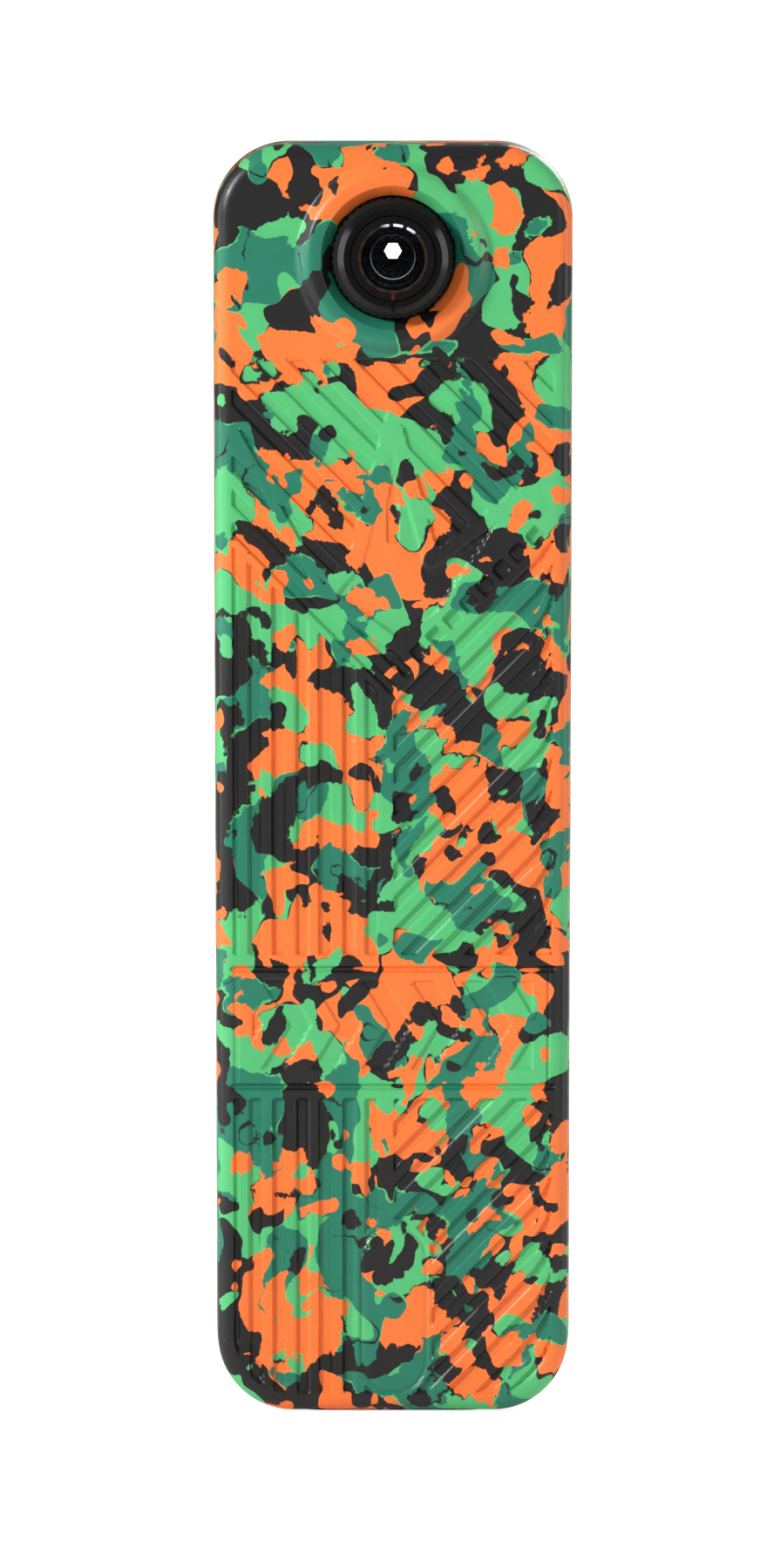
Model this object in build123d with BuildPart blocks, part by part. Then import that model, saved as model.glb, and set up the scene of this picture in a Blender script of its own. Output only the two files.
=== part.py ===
from build123d import *
from math import atan, degrees
import os

# A slim upright laser rangefinder, as separate pieces.
#
# The user looks through the eyepiece on the -Y face, near the top, and the target lies in the +Y
# direction. The body stands on its bottom end: +Z is up, and the origin is at the mouth of the tripod
# thread, in the middle of the base plate. Sizes are in millimetres.
#
# From outside to inside there are two moulded rubber armour halves, two rigid casing halves that meet
# in the plane Y = 0, and the optics, boards and cells that they hold.

# ---- the body ----
WIDTH = 50.0  # across X at the top, at the seam between the armour halves
LOW_WIDTH = 49.0  # across X at the bottom
HEIGHT = 176.3  # from the foot of the base plate to the top
DEPTH = 30.0  # between the two main faces
CORNER = 10.7  # radius of the body's four corners, seen from the user's side
EDGE = 2.2  # rounding between a main face and the sides
DRAFT = 0.3  # how much each side leans in between the seam and the face
FOOT = 0.3  # how far the base plate stands below the armour
ARMOUR = 2.0  # thickness of the rubber armour
WALL = 1.8  # thickness of the casing's walls
HALF_SEAM = 0.15  # half of the gap between the armour halves
CORD = 0.8  # width and depth of the casing's sealing cord

FACE = DEPTH / 2
CASE_FACE = FACE - ARMOUR
CASE_LOW = FOOT + ARMOUR
BAY_FACE = CASE_FACE - WALL  # the cavity runs from -BAY_FACE to +BAY_FACE
BAY_LOW = CASE_LOW + WALL
DRAFT_ANGLE = degrees(atan(DRAFT / FACE))

# ---- the optical axes ----
EYE_Z = 160.3  # eyepiece, prisms and objective
LASER_Z = 136.3  # laser transmitter
RUN = 0.05  # radial clearance of a turning or sliding fit
SEAT_GAP = 0.05  # radial clearance round a tube or an insert that does not move

# ---- the eyepiece, as radii and depths ----
BOSS_FOOT, BOSS_TOP, BOSS_RIM = 13.9, 11.4, 10.1
BOSS_RISE = 1.7
BOSS_HOLE = 8.65
RING_OUTER, RING_SHOULDER, RING_BEVEL, RING_MOUTH = 8.4, 7.65, 6.8, 5.95
RING_BACK, RING_FRONT = -15.1, -20.0
FLUTES = 44  # round the ring's grip
TUBE_OUTER, TUBE_BORE = 7.0, 5.35
TUBE_FRONT, TUBE_BACK = -18.8, -3.2
TUBE_FLANGE = 8.4
SEAL = 0.5  # thickness of each flat lens tube seal
FLANGE = 1.5  # thickness of each lens tube's flange
NUT_DEPTH = 1.9
CELL_FLANGE, CELL_OUTER = 5.8, TUBE_BORE - RUN
CELL_FRONT, CELL_LIP_BACK, CELL_BACK = -20.3, -19.6, -8.2
CROWN_OUTER, CROWN_INNER = 4.8, 4.42
CROWN_TEETH = 15
EYE_LENS_BACK = -17.2
INNER_BORE = 3.9
FIELD_LENS_RADIUS = 4.3
FIELD_LENS_FRONT, FIELD_LENS_BACK = -12.3, -10.3
BAFFLE_RADIUS = 3.0
STOP_RADIUS, STOP_THICK = 6.0, 0.4
HEX_RADIUS = 1.25  # corner radius of the six-sided aperture
HEX_RISE = 0.75  # how far the aperture stands above the axis
FOCUS_TRAVEL = 0.7  # how far the lens cell moves each way
PIN_RADIUS = 0.6
PIN_START, PIN_Y = 4.95, -17.2  # the guide pin's inner end and depth

# ---- the prisms and the receiver ----
PRISM_HALF = 4.5  # half of each prism's width
HOLDER_HALF = 6.5
HOLDER_LOW, HOLDER_HIGH = -9.4, 8.4  # below and above the optical axis
HOLDER_WALL = 1.4
HOLDER_BACK = 5.6
PRISM_POST_X = 11.2
EAR_HALF_HIGH, EAR_THICK = 2.5, 2.0
RECEIVER_Y = 1.2
FILTER_RADIUS, FILTER_THICK = 2.2, 0.8
SENSOR_RADIUS, SENSOR_HIGH = 2.7, 3.4
RECEIVER_BOARD_X, RECEIVER_BOARD_Y, RECEIVER_BOARD_THICK = 13.0, 9.0, 1.0

# ---- the target side ----
OBJ_OUTER, OBJ_BORE, OBJ_FLANGE = 9.0, 7.0, 10.4
OBJ_BACK, OBJ_FRONT = 5.6, 16.5
OBJ_LENS_RADIUS, OBJ_LENS_BACK, OBJ_LENS_FRONT = 8.0, 12.4, 14.9
EMIT_OUTER, EMIT_BORE, EMIT_FLANGE = 6.5, 4.8, 7.8
EMIT_BACK, EMIT_FRONT = -9.0, 15.4
EMIT_LENS_RADIUS, EMIT_LENS_BACK, EMIT_LENS_FRONT = 5.6, 12.4, 14.2
DIODE_FLANGE, DIODE_CAN, DIODE_LIP, DIODE_LONG = 2.8, 2.3, 1.2, 3.5
DRIVER_HALF = 7.0  # half of the driver board's side
FLAT = 0.0001  # the bulge of a lens face that is flat
BEZEL_RADIUS = 12.5
BEZEL_FRONT = 15.6
BEZEL_LOW_CENTRE = 139.3

# ---- fasteners ----
CASE_SCREW_X = 18.2
CASE_SCREW_ZS = (9.5, 84.0, 166.8)
CASE_BOSS = 2.8
CASE_SHANK, CASE_HEAD, CASE_HEAD_HIGH = 1.0, 1.9, 1.6
CASE_SOCKET = 0.9  # radius and depth of the six-sided socket
SCREW_SEAT = 9.0  # depth of the seat under the casing screws' heads
SCREW_TIP = -7.0
SMALL_SCREW = 0.8  # radius of the small screws' shanks
SMALL_HEAD, SMALL_HEAD_HIGH = 1.5, 1.0
POST = 2.0  # radius of the posts that the small screws bite into
PILOT = 5.0  # depth of the small screws' pilot holes
BITE = 4.6  # how far the small screws reach into them

# ---- the base ----
BASE_X, BASE_Y, BASE_CORNER = 26.0, 21.0, 4.0
THREAD_RADIUS = 2.6  # the 1/4 inch 20 per inch tripod thread, at its minor diameter
THREAD_DEEP = 8.0
INSERT_RADIUS, INSERT_FLANGE = 4.4, 6.5
INSERT_HIGH = 9.5
INSERT_LIP = 1.2  # thickness of the insert's flange
BASE_SCREW_X, BASE_SCREW_Y = 9.5, 5.6
BASE_HEAD, BASE_SINK = 1.6, 1.3  # radius of the screws' heads, and the depth they are sunk
BASE_POST, BASE_PILOT, BASE_BITE = 4.0, 3.5, 3.2  # heights above the cavity's floor
HEAD_GAP = 0.15  # radial clearance round a sunk head

# ---- the boards ----
BOARD_WIDTH, BOARD_LOW, BOARD_HIGH = 30.0, 77.5, 127.5
BOARD_BACK, BOARD_FRONT = 2.8, 4.0
BOARD_POST_X, BOARD_POST_ZS = 12.5, (81.0, 124.0)
# Each chip's width, height, x, z and thickness.
CHIPS = [(9, 9, 0, 112, 1.0), (6, 5, -8, 98, 0.9), (5, 5, 8, 98, 1.1), (7, 4, 0, 86, 1.6)]

# ---- the buttons ----
MEASURE_Z, MODE_Z = 110.0, 91.0
BUTTON_GAP = 0.25
BUTTON_FLOOR = 13.9  # underside of each button's cap
SWITCH_HIGH = 3.5  # of a switch's case and plunger together
SWITCH_WIDE, SWITCH_PLUNGER, PLUNGER_HIGH = 6.0, 1.6, 0.7
STEM_END = BOARD_FRONT + SWITCH_HIGH + 0.9  # the stems' tips, clear of the plungers
STEM_GAP = 0.1  # radial clearance of the stems in the casing
FLANGE_LIP, FLANGE_GAP = 1.2, 0.1  # the stems' retaining flanges, inside the casing
MEASURE_WIDE, MEASURE_TALL, MEASURE_CORNER = 12.0, 18.0, 5.5
MEASURE_STEM, MEASURE_FLANGE, MEASURE_PROUD = 3.0, 4.2, 0.8
MODE_CAP, MODE_STEM, MODE_FLANGE, MODE_PROUD = 4.0, 1.8, 2.8, 0.5

# ---- the cells and their door ----
CELL_RADIUS, CELL_X, CELL_Y = 7.25, 7.45, 1.8
CELL_BODY, NUB_RADIUS, NUB_HIGH = 49.5, 2.75, 1.0
TRAY_WIDTH, TRAY_WALL, TRAY_BACK = 32.4, 1.2, -6.8
TRAY_LOW, TRAY_HIGH = 12.8, 69.6
CONTACT, CONTACT_X, CONTACT_Y = 0.5, 9.0, 8.0  # thickness and sides of the contact plates
SPRING_WIRE, SPRING_RADIUS, SPRING_TURNS = 0.35, 3.2, 3
HATCH_WIDTH, HATCH_LOW, HATCH_HIGH = 30.0, 14.0, 66.0
DOOR_WIDTH, DOOR_LOW, DOOR_HIGH = 31.6, 12.9, 67.2
DOOR_GAP = 0.3
LID_FRONT = 14.0
HINGE_Y, HINGE_Z = 13.4, 69.9
KNUCKLE, HINGE_PIN = 1.5, 0.75
DOOR_KNUCKLE, FIXED_KNUCKLE_END = 6.0, 9.5
HINGE_SIDE = 0.2  # gap between the door's knuckle and each fixed one
PIN_GAP = 0.03  # radial clearance of the hinge pin
TROUGH = 2.2  # half of the hinge trough's height, and its depth behind the hinge's axis
TROUGH_WALL = 1.0
SKIN_MARGIN = 2.6  # how far the armour stays clear above the hinge's axis
HATCH_LIP = 1.4  # thickness of the lid's inner step


def facing(y):
    """The plane at depth y that looks back at the user. Its own axes are X and Z."""
    return Plane.XZ.offset(-y)


def body_block(inset, y_near, y_far, mode=Mode.ADD):
    """A block with the body's outline, moved in by an inset, in the part being built."""
    extrude(body_outline(inset, facing(y_far)).sketch, amount=y_far - y_near, mode=mode)


def body_outline(inset, plane):
    """The body's outline as the user sees it: a little narrower towards the foot."""
    low, high = FOOT + inset, HEIGHT - inset
    half_low, half_high = LOW_WIDTH / 2 - inset, WIDTH / 2 - inset
    with BuildSketch(plane) as outline:
        with BuildLine():
            Polyline((-half_low, low), (half_low, low), (half_high, high), (-half_high, high), close=True)
        make_face()
        fillet(outline.vertices(), CORNER - inset)
    return outline


def disc(radius, y_near, y_far, z=0.0, x=0.0, mode=Mode.ADD):
    """A cylinder along Y in the part being built."""
    with BuildSketch(facing(y_far)) as outline:
        with Locations((x, z)):
            Circle(radius)
    extrude(outline.sketch, amount=y_far - y_near, mode=mode)


def block(width, z_low, z_high, y_near, y_far, corner=0.0, x=0.0, mode=Mode.ADD):
    """A block, rounded as seen from the user's side, in the part being built."""
    with BuildSketch(facing(y_far)) as outline:
        with Locations((x, (z_low + z_high) / 2)):
            if corner:
                RectangleRounded(width, z_high - z_low, corner)
            else:
                Rectangle(width, z_high - z_low)
    extrude(outline.sketch, amount=y_far - y_near, mode=mode)


def column(radius, z_low, z_high, x=0.0, y=0.0, mode=Mode.ADD):
    """A cylinder along Z in the part being built."""
    with BuildSketch(Plane.XY.offset(z_low)) as outline:
        with Locations((x, y)):
            Circle(radius)
    extrude(outline.sketch, amount=z_high - z_low, mode=mode)


def turned(z, profile, mode=Mode.ADD):
    """A solid of revolution about the optical axis at height z, from (radius, y) corners."""
    with BuildSketch(Plane.XY.offset(z)) as outline:
        with BuildLine():
            Polyline(*profile, close=True)
        make_face()
    revolve(outline.sketch, axis=Axis((0, 0, z), (0, 1, 0)), mode=mode)


def tube(outer, inner, y_near, y_far, z):
    """A plain ring or tube about the optical axis at height z."""
    turned(z, [(inner, y_near), (outer, y_near), (outer, y_far), (inner, y_far)])


def lens(z, radius, y_near, y_far, bulge_near, bulge_far):
    """A lens about the axis at height z. Each bulge is how far the middle of that face moves in."""
    with BuildSketch(Plane.XY.offset(z)) as outline:
        with BuildLine():
            near = ThreePointArc(
                (-radius, y_near + bulge_near), (0, y_near), (radius, y_near + bulge_near)
            )
            far = ThreePointArc(
                (-radius, y_far - bulge_far), (0, y_far), (radius, y_far - bulge_far)
            )
            Line(near @ 0, far @ 0)
            Line(near @ 1, far @ 1)
        make_face()
        split(bisect_by=Plane.YZ, keep=Keep.TOP)
    revolve(outline.sketch, axis=Axis((0, 0, z), (0, 1, 0)))


def save(piece, label):
    """Labels a finished piece and writes it to its own file."""
    piece.part.label = label
    export_step(piece.part, f"parts/{label}.step")


def mirrored(x, zs):
    """The (x, z) places of a row of features on both sides of the body."""
    return [(side * x, z) for z in zs for side in (-1, 1)]


def base_screw_places():
    return [(sx * BASE_SCREW_X, sy * BASE_SCREW_Y) for sx in (-1, 1) for sy in (-1, 1)]


# ---- armour ----


def armour_half(towards):
    """One armour half's outside, hollowed for its casing half. towards is -1 for the user's side."""
    seam = Plane(origin=(0, towards * HALF_SEAM, 0), x_dir=(-towards, 0, 0), z_dir=(0, towards, 0))
    extrude(body_outline(0, seam).sketch, amount=FACE - HALF_SEAM, taper=DRAFT_ANGLE)


def hollow_armour(y_near, y_far):
    """The space for the casing, and the base plate's window, in an armour half."""
    body_block(ARMOUR, y_near, y_far, Mode.SUBTRACT)
    with BuildSketch() as window:
        RectangleRounded(BASE_X + 0.2, BASE_Y + 0.2, BASE_CORNER)
    extrude(window.sketch, amount=CASE_LOW, mode=Mode.SUBTRACT)


def make_rear_armour():
    with BuildPart() as rear_armour:
        armour_half(-1)
        fillet(rear_armour.faces().sort_by(Axis.Y)[0].edges(), EDGE)
        turned(
            EYE_Z,
            [
                (0, -FACE + 1),
                (BOSS_FOOT, -FACE + 1),
                (BOSS_FOOT, -FACE),
                (BOSS_TOP, -FACE - BOSS_RISE),
                (0, -FACE - BOSS_RISE),
            ],
        )
        turned(
            EYE_Z,
            [
                (0, -FACE - BOSS_RISE),
                (BOSS_RIM, -FACE - BOSS_RISE),
                (BOSS_HOLE, -FACE - BOSS_RISE + 0.9),
                (BOSS_HOLE, -CASE_FACE),
                (0, -CASE_FACE),
            ],
            mode=Mode.SUBTRACT,
        )
        hollow_armour(-CASE_FACE, 0)
    save(rear_armour, "rear_armour")


def make_front_armour():
    with BuildPart() as front_armour:
        armour_half(1)
        fillet(front_armour.faces().sort_by(Axis.Y)[-1].edges(), EDGE)
        hollow_armour(0, CASE_FACE)
        bezel_outline(BEZEL_RADIUS + 0.15, CASE_FACE, FACE, mode=Mode.SUBTRACT)
        block(
            DOOR_WIDTH + 2 * DOOR_GAP, DOOR_LOW - DOOR_GAP, HINGE_Z + SKIN_MARGIN,
            CASE_FACE, FACE, 1.5, mode=Mode.SUBTRACT,
        )
        measure_outline(BUTTON_GAP, CASE_FACE, FACE, mode=Mode.SUBTRACT)
        disc(MODE_CAP + BUTTON_GAP, CASE_FACE, FACE, MODE_Z, mode=Mode.SUBTRACT)
    save(front_armour, "front_armour")


def bezel_outline(radius, y_near, y_far, mode=Mode.ADD):
    """The upright oval that surrounds both lenses on the target side."""
    with BuildSketch(facing(y_far)) as outline:
        with Locations((0, (EYE_Z + BEZEL_LOW_CENTRE) / 2)):
            SlotCenterToCenter(EYE_Z - BEZEL_LOW_CENTRE, 2 * radius, rotation=90)
    extrude(outline.sketch, amount=y_far - y_near, mode=mode)


# ---- casing ----


def make_rear_casing():
    with BuildPart() as rear_casing:
        body_block(ARMOUR, -CASE_FACE, 0)
        body_block(ARMOUR + WALL, -BAY_FACE, 0, Mode.SUBTRACT)
        for x, z in mirrored(CASE_SCREW_X, CASE_SCREW_ZS):
            disc(CASE_BOSS, -CASE_FACE, 0, z, x)
        for x, z in mirrored(BOARD_POST_X, BOARD_POST_ZS):
            disc(POST, -BAY_FACE, BOARD_BACK, z, x)
            disc(SMALL_SCREW, BOARD_BACK - PILOT, BOARD_BACK, z, x, Mode.SUBTRACT)
        for x in (-PRISM_POST_X, PRISM_POST_X):
            disc(POST, -BAY_FACE, TUBE_BACK, EYE_Z, x)
            disc(SMALL_SCREW, TUBE_BACK - PILOT, TUBE_BACK, EYE_Z, x, Mode.SUBTRACT)
        for x, z in mirrored(CASE_SCREW_X, CASE_SCREW_ZS):
            disc(CASE_SHANK, SCREW_TIP, 0, z, x, Mode.SUBTRACT)
        disc(TUBE_OUTER + SEAT_GAP, -CASE_FACE, -BAY_FACE, EYE_Z, mode=Mode.SUBTRACT)
        for x, y in base_screw_places():
            if y < 0:
                column(POST, CASE_LOW, BAY_LOW + BASE_POST, x, y)
                column(SMALL_SCREW, CASE_LOW, BAY_LOW + BASE_PILOT, x, y, Mode.SUBTRACT)
        column(INSERT_RADIUS + SEAT_GAP, CASE_LOW, BAY_LOW, mode=Mode.SUBTRACT)
    save(rear_casing, "rear_casing")


def make_front_casing():
    with BuildPart() as front_casing:
        body_block(ARMOUR, 0, CASE_FACE)
        body_block(ARMOUR + WALL, 0, BAY_FACE, Mode.SUBTRACT)
        for x, z in mirrored(CASE_SCREW_X, CASE_SCREW_ZS):
            disc(CASE_BOSS, 0, CASE_FACE, z, x)
            disc(CASE_SHANK + 0.1, 0, SCREW_SEAT, z, x, Mode.SUBTRACT)
            disc(CASE_HEAD + 0.1, SCREW_SEAT, CASE_FACE, z, x, Mode.SUBTRACT)
        disc(OBJ_OUTER + SEAT_GAP, BAY_FACE, CASE_FACE, EYE_Z, mode=Mode.SUBTRACT)
        disc(EMIT_OUTER + SEAT_GAP, BAY_FACE, CASE_FACE, LASER_Z, mode=Mode.SUBTRACT)
        disc(MEASURE_STEM + STEM_GAP, BAY_FACE, CASE_FACE, MEASURE_Z, mode=Mode.SUBTRACT)
        disc(MODE_STEM + STEM_GAP, BAY_FACE, CASE_FACE, MODE_Z, mode=Mode.SUBTRACT)
        gasket_ring(mode=Mode.SUBTRACT)
        hinge_seat()
        block(HATCH_WIDTH, HATCH_LOW, HATCH_HIGH, BAY_FACE, CASE_FACE, 1.0, mode=Mode.SUBTRACT)
        for x, y in base_screw_places():
            if y > 0:
                column(POST, CASE_LOW, BAY_LOW + BASE_POST, x, y)
                column(SMALL_SCREW, CASE_LOW, BAY_LOW + BASE_PILOT, x, y, Mode.SUBTRACT)
        column(INSERT_RADIUS + SEAT_GAP, CASE_LOW, BAY_LOW, mode=Mode.SUBTRACT)
    save(front_casing, "front_casing")


def hinge_seat():
    """The trough and the two fixed knuckles that carry the door's hinge pin."""
    trough_low, trough_high = HINGE_Z - TROUGH, HINGE_Z + TROUGH
    block(
        FIXED_KNUCKLE_END * 2 + 4, trough_low - TROUGH_WALL, trough_high + TROUGH_WALL + 0.2,
        BAY_FACE - 2 * TROUGH_WALL, BAY_FACE,
    )
    block(
        FIXED_KNUCKLE_END * 2 + 0.8, trough_low, trough_high,
        HINGE_Y - TROUGH, CASE_FACE, mode=Mode.SUBTRACT,
    )
    for side in (-1, 1):
        middle = side * (DOOR_KNUCKLE + HINGE_SIDE + FIXED_KNUCKLE_END) / 2
        length = FIXED_KNUCKLE_END - DOOR_KNUCKLE - HINGE_SIDE
        knuckle(middle, length)
        block(length, HINGE_Z - KNUCKLE, HINGE_Z + KNUCKLE, HINGE_Y - TROUGH, HINGE_Y, x=middle)
    knuckle(0, WIDTH / 2, HINGE_PIN + PIN_GAP, Mode.SUBTRACT)


def knuckle(x, length, radius=KNUCKLE, mode=Mode.ADD):
    """A cylinder along the hinge's axis, centred at x."""
    with BuildSketch(Plane.YZ.offset(x - length / 2)) as outline:
        with Locations((HINGE_Y, HINGE_Z)):
            Circle(radius)
    extrude(outline.sketch, amount=length, mode=mode)


def gasket_ring(mode=Mode.ADD):
    """The sealing cord's loop, in the middle of the casing's wall."""
    inset = ARMOUR + (WALL - CORD) / 2
    outer = body_outline(inset, facing(CORD)).sketch
    inner = body_outline(inset + CORD, facing(CORD)).sketch
    extrude(outer - inner, amount=CORD, mode=mode)


def make_casing_gasket():
    with BuildPart() as casing_gasket:
        gasket_ring()
        column(INSERT_RADIUS + SEAT_GAP, CASE_LOW, BAY_LOW, mode=Mode.SUBTRACT)
    save(casing_gasket, "casing_gasket")


def make_casing_screws():
    with BuildPart() as casing_screws:
        for x, z in mirrored(CASE_SCREW_X, CASE_SCREW_ZS):
            disc(CASE_SHANK, SCREW_TIP, SCREW_SEAT, z, x)
            disc(CASE_HEAD, SCREW_SEAT, SCREW_SEAT + CASE_HEAD_HIGH, z, x)
            with BuildSketch(facing(SCREW_SEAT + CASE_HEAD_HIGH)) as socket:
                with Locations((x, z)):
                    RegularPolygon(CASE_SOCKET, 6)
            extrude(socket.sketch, amount=CASE_SOCKET, mode=Mode.SUBTRACT)
    save(casing_screws, "casing_screws")


# ---- base ----


def make_base_plate():
    with BuildPart() as base_plate:
        with BuildSketch():
            RectangleRounded(BASE_X, BASE_Y, BASE_CORNER)
        extrude(amount=CASE_LOW)
        chamfer(base_plate.faces().sort_by(Axis.Z)[0].edges(), 0.3)
        column(INSERT_RADIUS, 0, CASE_LOW, mode=Mode.SUBTRACT)
        for x, y in base_screw_places():
            column(SMALL_SCREW + 0.1, 0, CASE_LOW, x, y, Mode.SUBTRACT)
            column(BASE_HEAD + HEAD_GAP, 0, BASE_SINK, x, y, Mode.SUBTRACT)
    save(base_plate, "base_plate")


def make_tripod_insert():
    with BuildPart() as tripod_insert:
        column(INSERT_RADIUS, 0, INSERT_HIGH)
        column(INSERT_FLANGE, BAY_LOW, BAY_LOW + INSERT_LIP)
        column(THREAD_RADIUS, 0, THREAD_DEEP, mode=Mode.SUBTRACT)
    save(tripod_insert, "tripod_insert")


def make_base_plate_screws():
    head_low, socket_radius, socket_deep = 0.2, 0.75, 0.7
    with BuildPart() as base_plate_screws:
        for x, y in base_screw_places():
            column(BASE_HEAD, head_low, BASE_SINK, x, y)
            column(SMALL_SCREW, BASE_SINK, BAY_LOW + BASE_BITE, x, y)
            with BuildSketch(Plane.XY.offset(head_low)) as socket:
                with Locations((x, y)):
                    RegularPolygon(socket_radius, 6)
            extrude(socket.sketch, amount=socket_deep, mode=Mode.SUBTRACT)
    save(base_plate_screws, "base_plate_screws")


# ---- eyepiece ----


def make_eyepiece_tube():
    with BuildPart() as eyepiece_tube:
        seat = -BAY_FACE + SEAL
        turned(
            EYE_Z,
            [
                (TUBE_BORE, TUBE_FRONT),
                (TUBE_OUTER, TUBE_FRONT),
                (TUBE_OUTER, seat),
                (TUBE_FLANGE, seat),
                (TUBE_FLANGE, seat + FLANGE),
                (TUBE_OUTER, seat + FLANGE),
                (TUBE_OUTER, TUBE_BACK),
                (STOP_RADIUS, TUBE_BACK),
                (STOP_RADIUS, TUBE_BACK - 3 * STOP_THICK),
                (TUBE_BORE, TUBE_BACK - 3 * STOP_THICK),
            ],
        )
        with BuildSketch(Plane.XY.offset(EYE_Z)) as slot:
            with Locations((0, PIN_Y)):
                SlotOverall(2 * FOCUS_TRAVEL + 2 * PIN_RADIUS + 0.3, 2 * PIN_RADIUS + 0.1, rotation=90)
        extrude(slot.sketch, amount=TUBE_OUTER + 1, mode=Mode.SUBTRACT)
    save(eyepiece_tube, "eyepiece_tube")


def make_eyepiece_seal():
    with BuildPart() as eyepiece_seal:
        tube(TUBE_FLANGE, TUBE_OUTER, -BAY_FACE, -BAY_FACE + SEAL, EYE_Z)
    save(eyepiece_seal, "eyepiece_seal")


def make_eyepiece_nut():
    with BuildPart() as eyepiece_nut:
        tube(TUBE_FLANGE, TUBE_OUTER, -CASE_FACE - NUT_DEPTH, -CASE_FACE, EYE_Z)
        with BuildSketch(facing(-CASE_FACE - NUT_DEPTH)) as notches:
            with Locations((0, EYE_Z)):
                with PolarLocations(TUBE_FLANGE, 4):
                    Rectangle(1.2, 1.6)
        extrude(notches.sketch, amount=-0.9, mode=Mode.SUBTRACT)
    save(eyepiece_nut, "eyepiece_nut")


def make_dioptre_ring():
    """The outer ring that the user turns. Its grip has fine flutes, and a notch marks its setting."""
    groove_half = FOCUS_TRAVEL + PIN_RADIUS + 0.25
    with BuildPart() as dioptre_ring:
        turned(
            EYE_Z,
            [
                (TUBE_OUTER + RUN, RING_BACK),
                (RING_OUTER, RING_BACK),
                (RING_OUTER, RING_BACK - 1.3),
                (RING_SHOULDER, RING_FRONT + 0.85),
                (RING_BEVEL, RING_FRONT),
                (RING_MOUTH, RING_FRONT),
                (RING_MOUTH, TUBE_FRONT - 0.3),
                (TUBE_OUTER + RUN, TUBE_FRONT - 0.3),
                (TUBE_OUTER + RUN, PIN_Y - groove_half),
                (TUBE_OUTER + 0.45, PIN_Y - groove_half),
                (TUBE_OUTER + 0.45, PIN_Y + groove_half),
                (TUBE_OUTER + RUN, PIN_Y + groove_half),
            ],
        )
        with BuildSketch(facing(RING_BACK)) as flute_sketch:
            with Locations((0, EYE_Z)):
                with PolarLocations(RING_OUTER + 0.12, FLUTES):
                    Circle(0.3)
        extrude(flute_sketch.sketch, amount=3.2, mode=Mode.SUBTRACT)
        with BuildSketch(facing(RING_FRONT - 0.1)) as notch:
            with Locations((0, EYE_Z - (RING_MOUTH + RING_SHOULDER) / 2)):
                Rectangle(0.35, RING_SHOULDER - RING_MOUTH - 0.5)
        extrude(notch.sketch, amount=-0.6, mode=Mode.SUBTRACT)
    save(dioptre_ring, "dioptre_ring")


def make_lens_cell():
    mark_low = EYE_Z - CELL_FLANGE + 0.1
    with BuildPart() as lens_cell:
        turned(
            EYE_Z,
            [
                (CROWN_OUTER, CELL_FRONT),
                (CELL_FLANGE, CELL_FRONT),
                (CELL_FLANGE, CELL_LIP_BACK),
                (CELL_OUTER, CELL_LIP_BACK),
                (CELL_OUTER, CELL_BACK),
                (FIELD_LENS_RADIUS, CELL_BACK),
                (FIELD_LENS_RADIUS, FIELD_LENS_FRONT),
                (INNER_BORE, FIELD_LENS_FRONT),
                (INNER_BORE, EYE_LENS_BACK),
                (CROWN_OUTER, EYE_LENS_BACK),
            ],
        )
        block(0.4, mark_low, mark_low + 0.8, CELL_FRONT, CELL_FRONT + 0.2, mode=Mode.SUBTRACT)
        column(PIN_RADIUS, EYE_Z + PIN_START, EYE_Z + CELL_OUTER + 1, 0, PIN_Y, Mode.SUBTRACT)
    save(lens_cell, "lens_cell")

    with BuildPart() as focus_mark:
        block(0.4, mark_low, mark_low + 0.8, CELL_FRONT, CELL_FRONT + 0.2)
    save(focus_mark, "focus_mark")

    with BuildPart() as guide_pin:
        column(PIN_RADIUS, EYE_Z + PIN_START, EYE_Z + TUBE_OUTER + 0.3, 0, PIN_Y)
    save(guide_pin, "guide_pin")


def make_crown_ring():
    """The eye lens's retaining ring. A peg spanner grips the gaps between its teeth."""
    gap_wide, gap_deep = 0.6, 0.35
    with BuildPart() as crown_ring:
        tube(CROWN_OUTER, CROWN_INNER, CELL_FRONT, CELL_FRONT + 0.7, EYE_Z)
        with BuildSketch(facing(CELL_FRONT)) as gaps:
            with Locations((0, EYE_Z)):
                with PolarLocations((CROWN_OUTER + CROWN_INNER) / 2, CROWN_TEETH, start_angle=93):
                    Rectangle(1.0, gap_wide)
        extrude(gaps.sketch, amount=-gap_deep, mode=Mode.SUBTRACT)
    save(crown_ring, "crown_ring")


def make_eye_lenses():
    with BuildPart() as eye_lens:
        lens(EYE_Z, CROWN_OUTER - 0.02, CELL_FRONT + 0.42, EYE_LENS_BACK, 0.4, 0.3)
    save(eye_lens, "eye_lens")
    with BuildPart() as field_lens:
        lens(EYE_Z, FIELD_LENS_RADIUS - 0.02, FIELD_LENS_FRONT, FIELD_LENS_BACK, 0.25, 0.25)
    save(field_lens, "field_lens")
    with BuildPart() as field_lens_ring:
        tube(FIELD_LENS_RADIUS, BAFFLE_RADIUS, FIELD_LENS_BACK, FIELD_LENS_BACK + 1.2, EYE_Z)
    save(field_lens_ring, "field_lens_ring")


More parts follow.
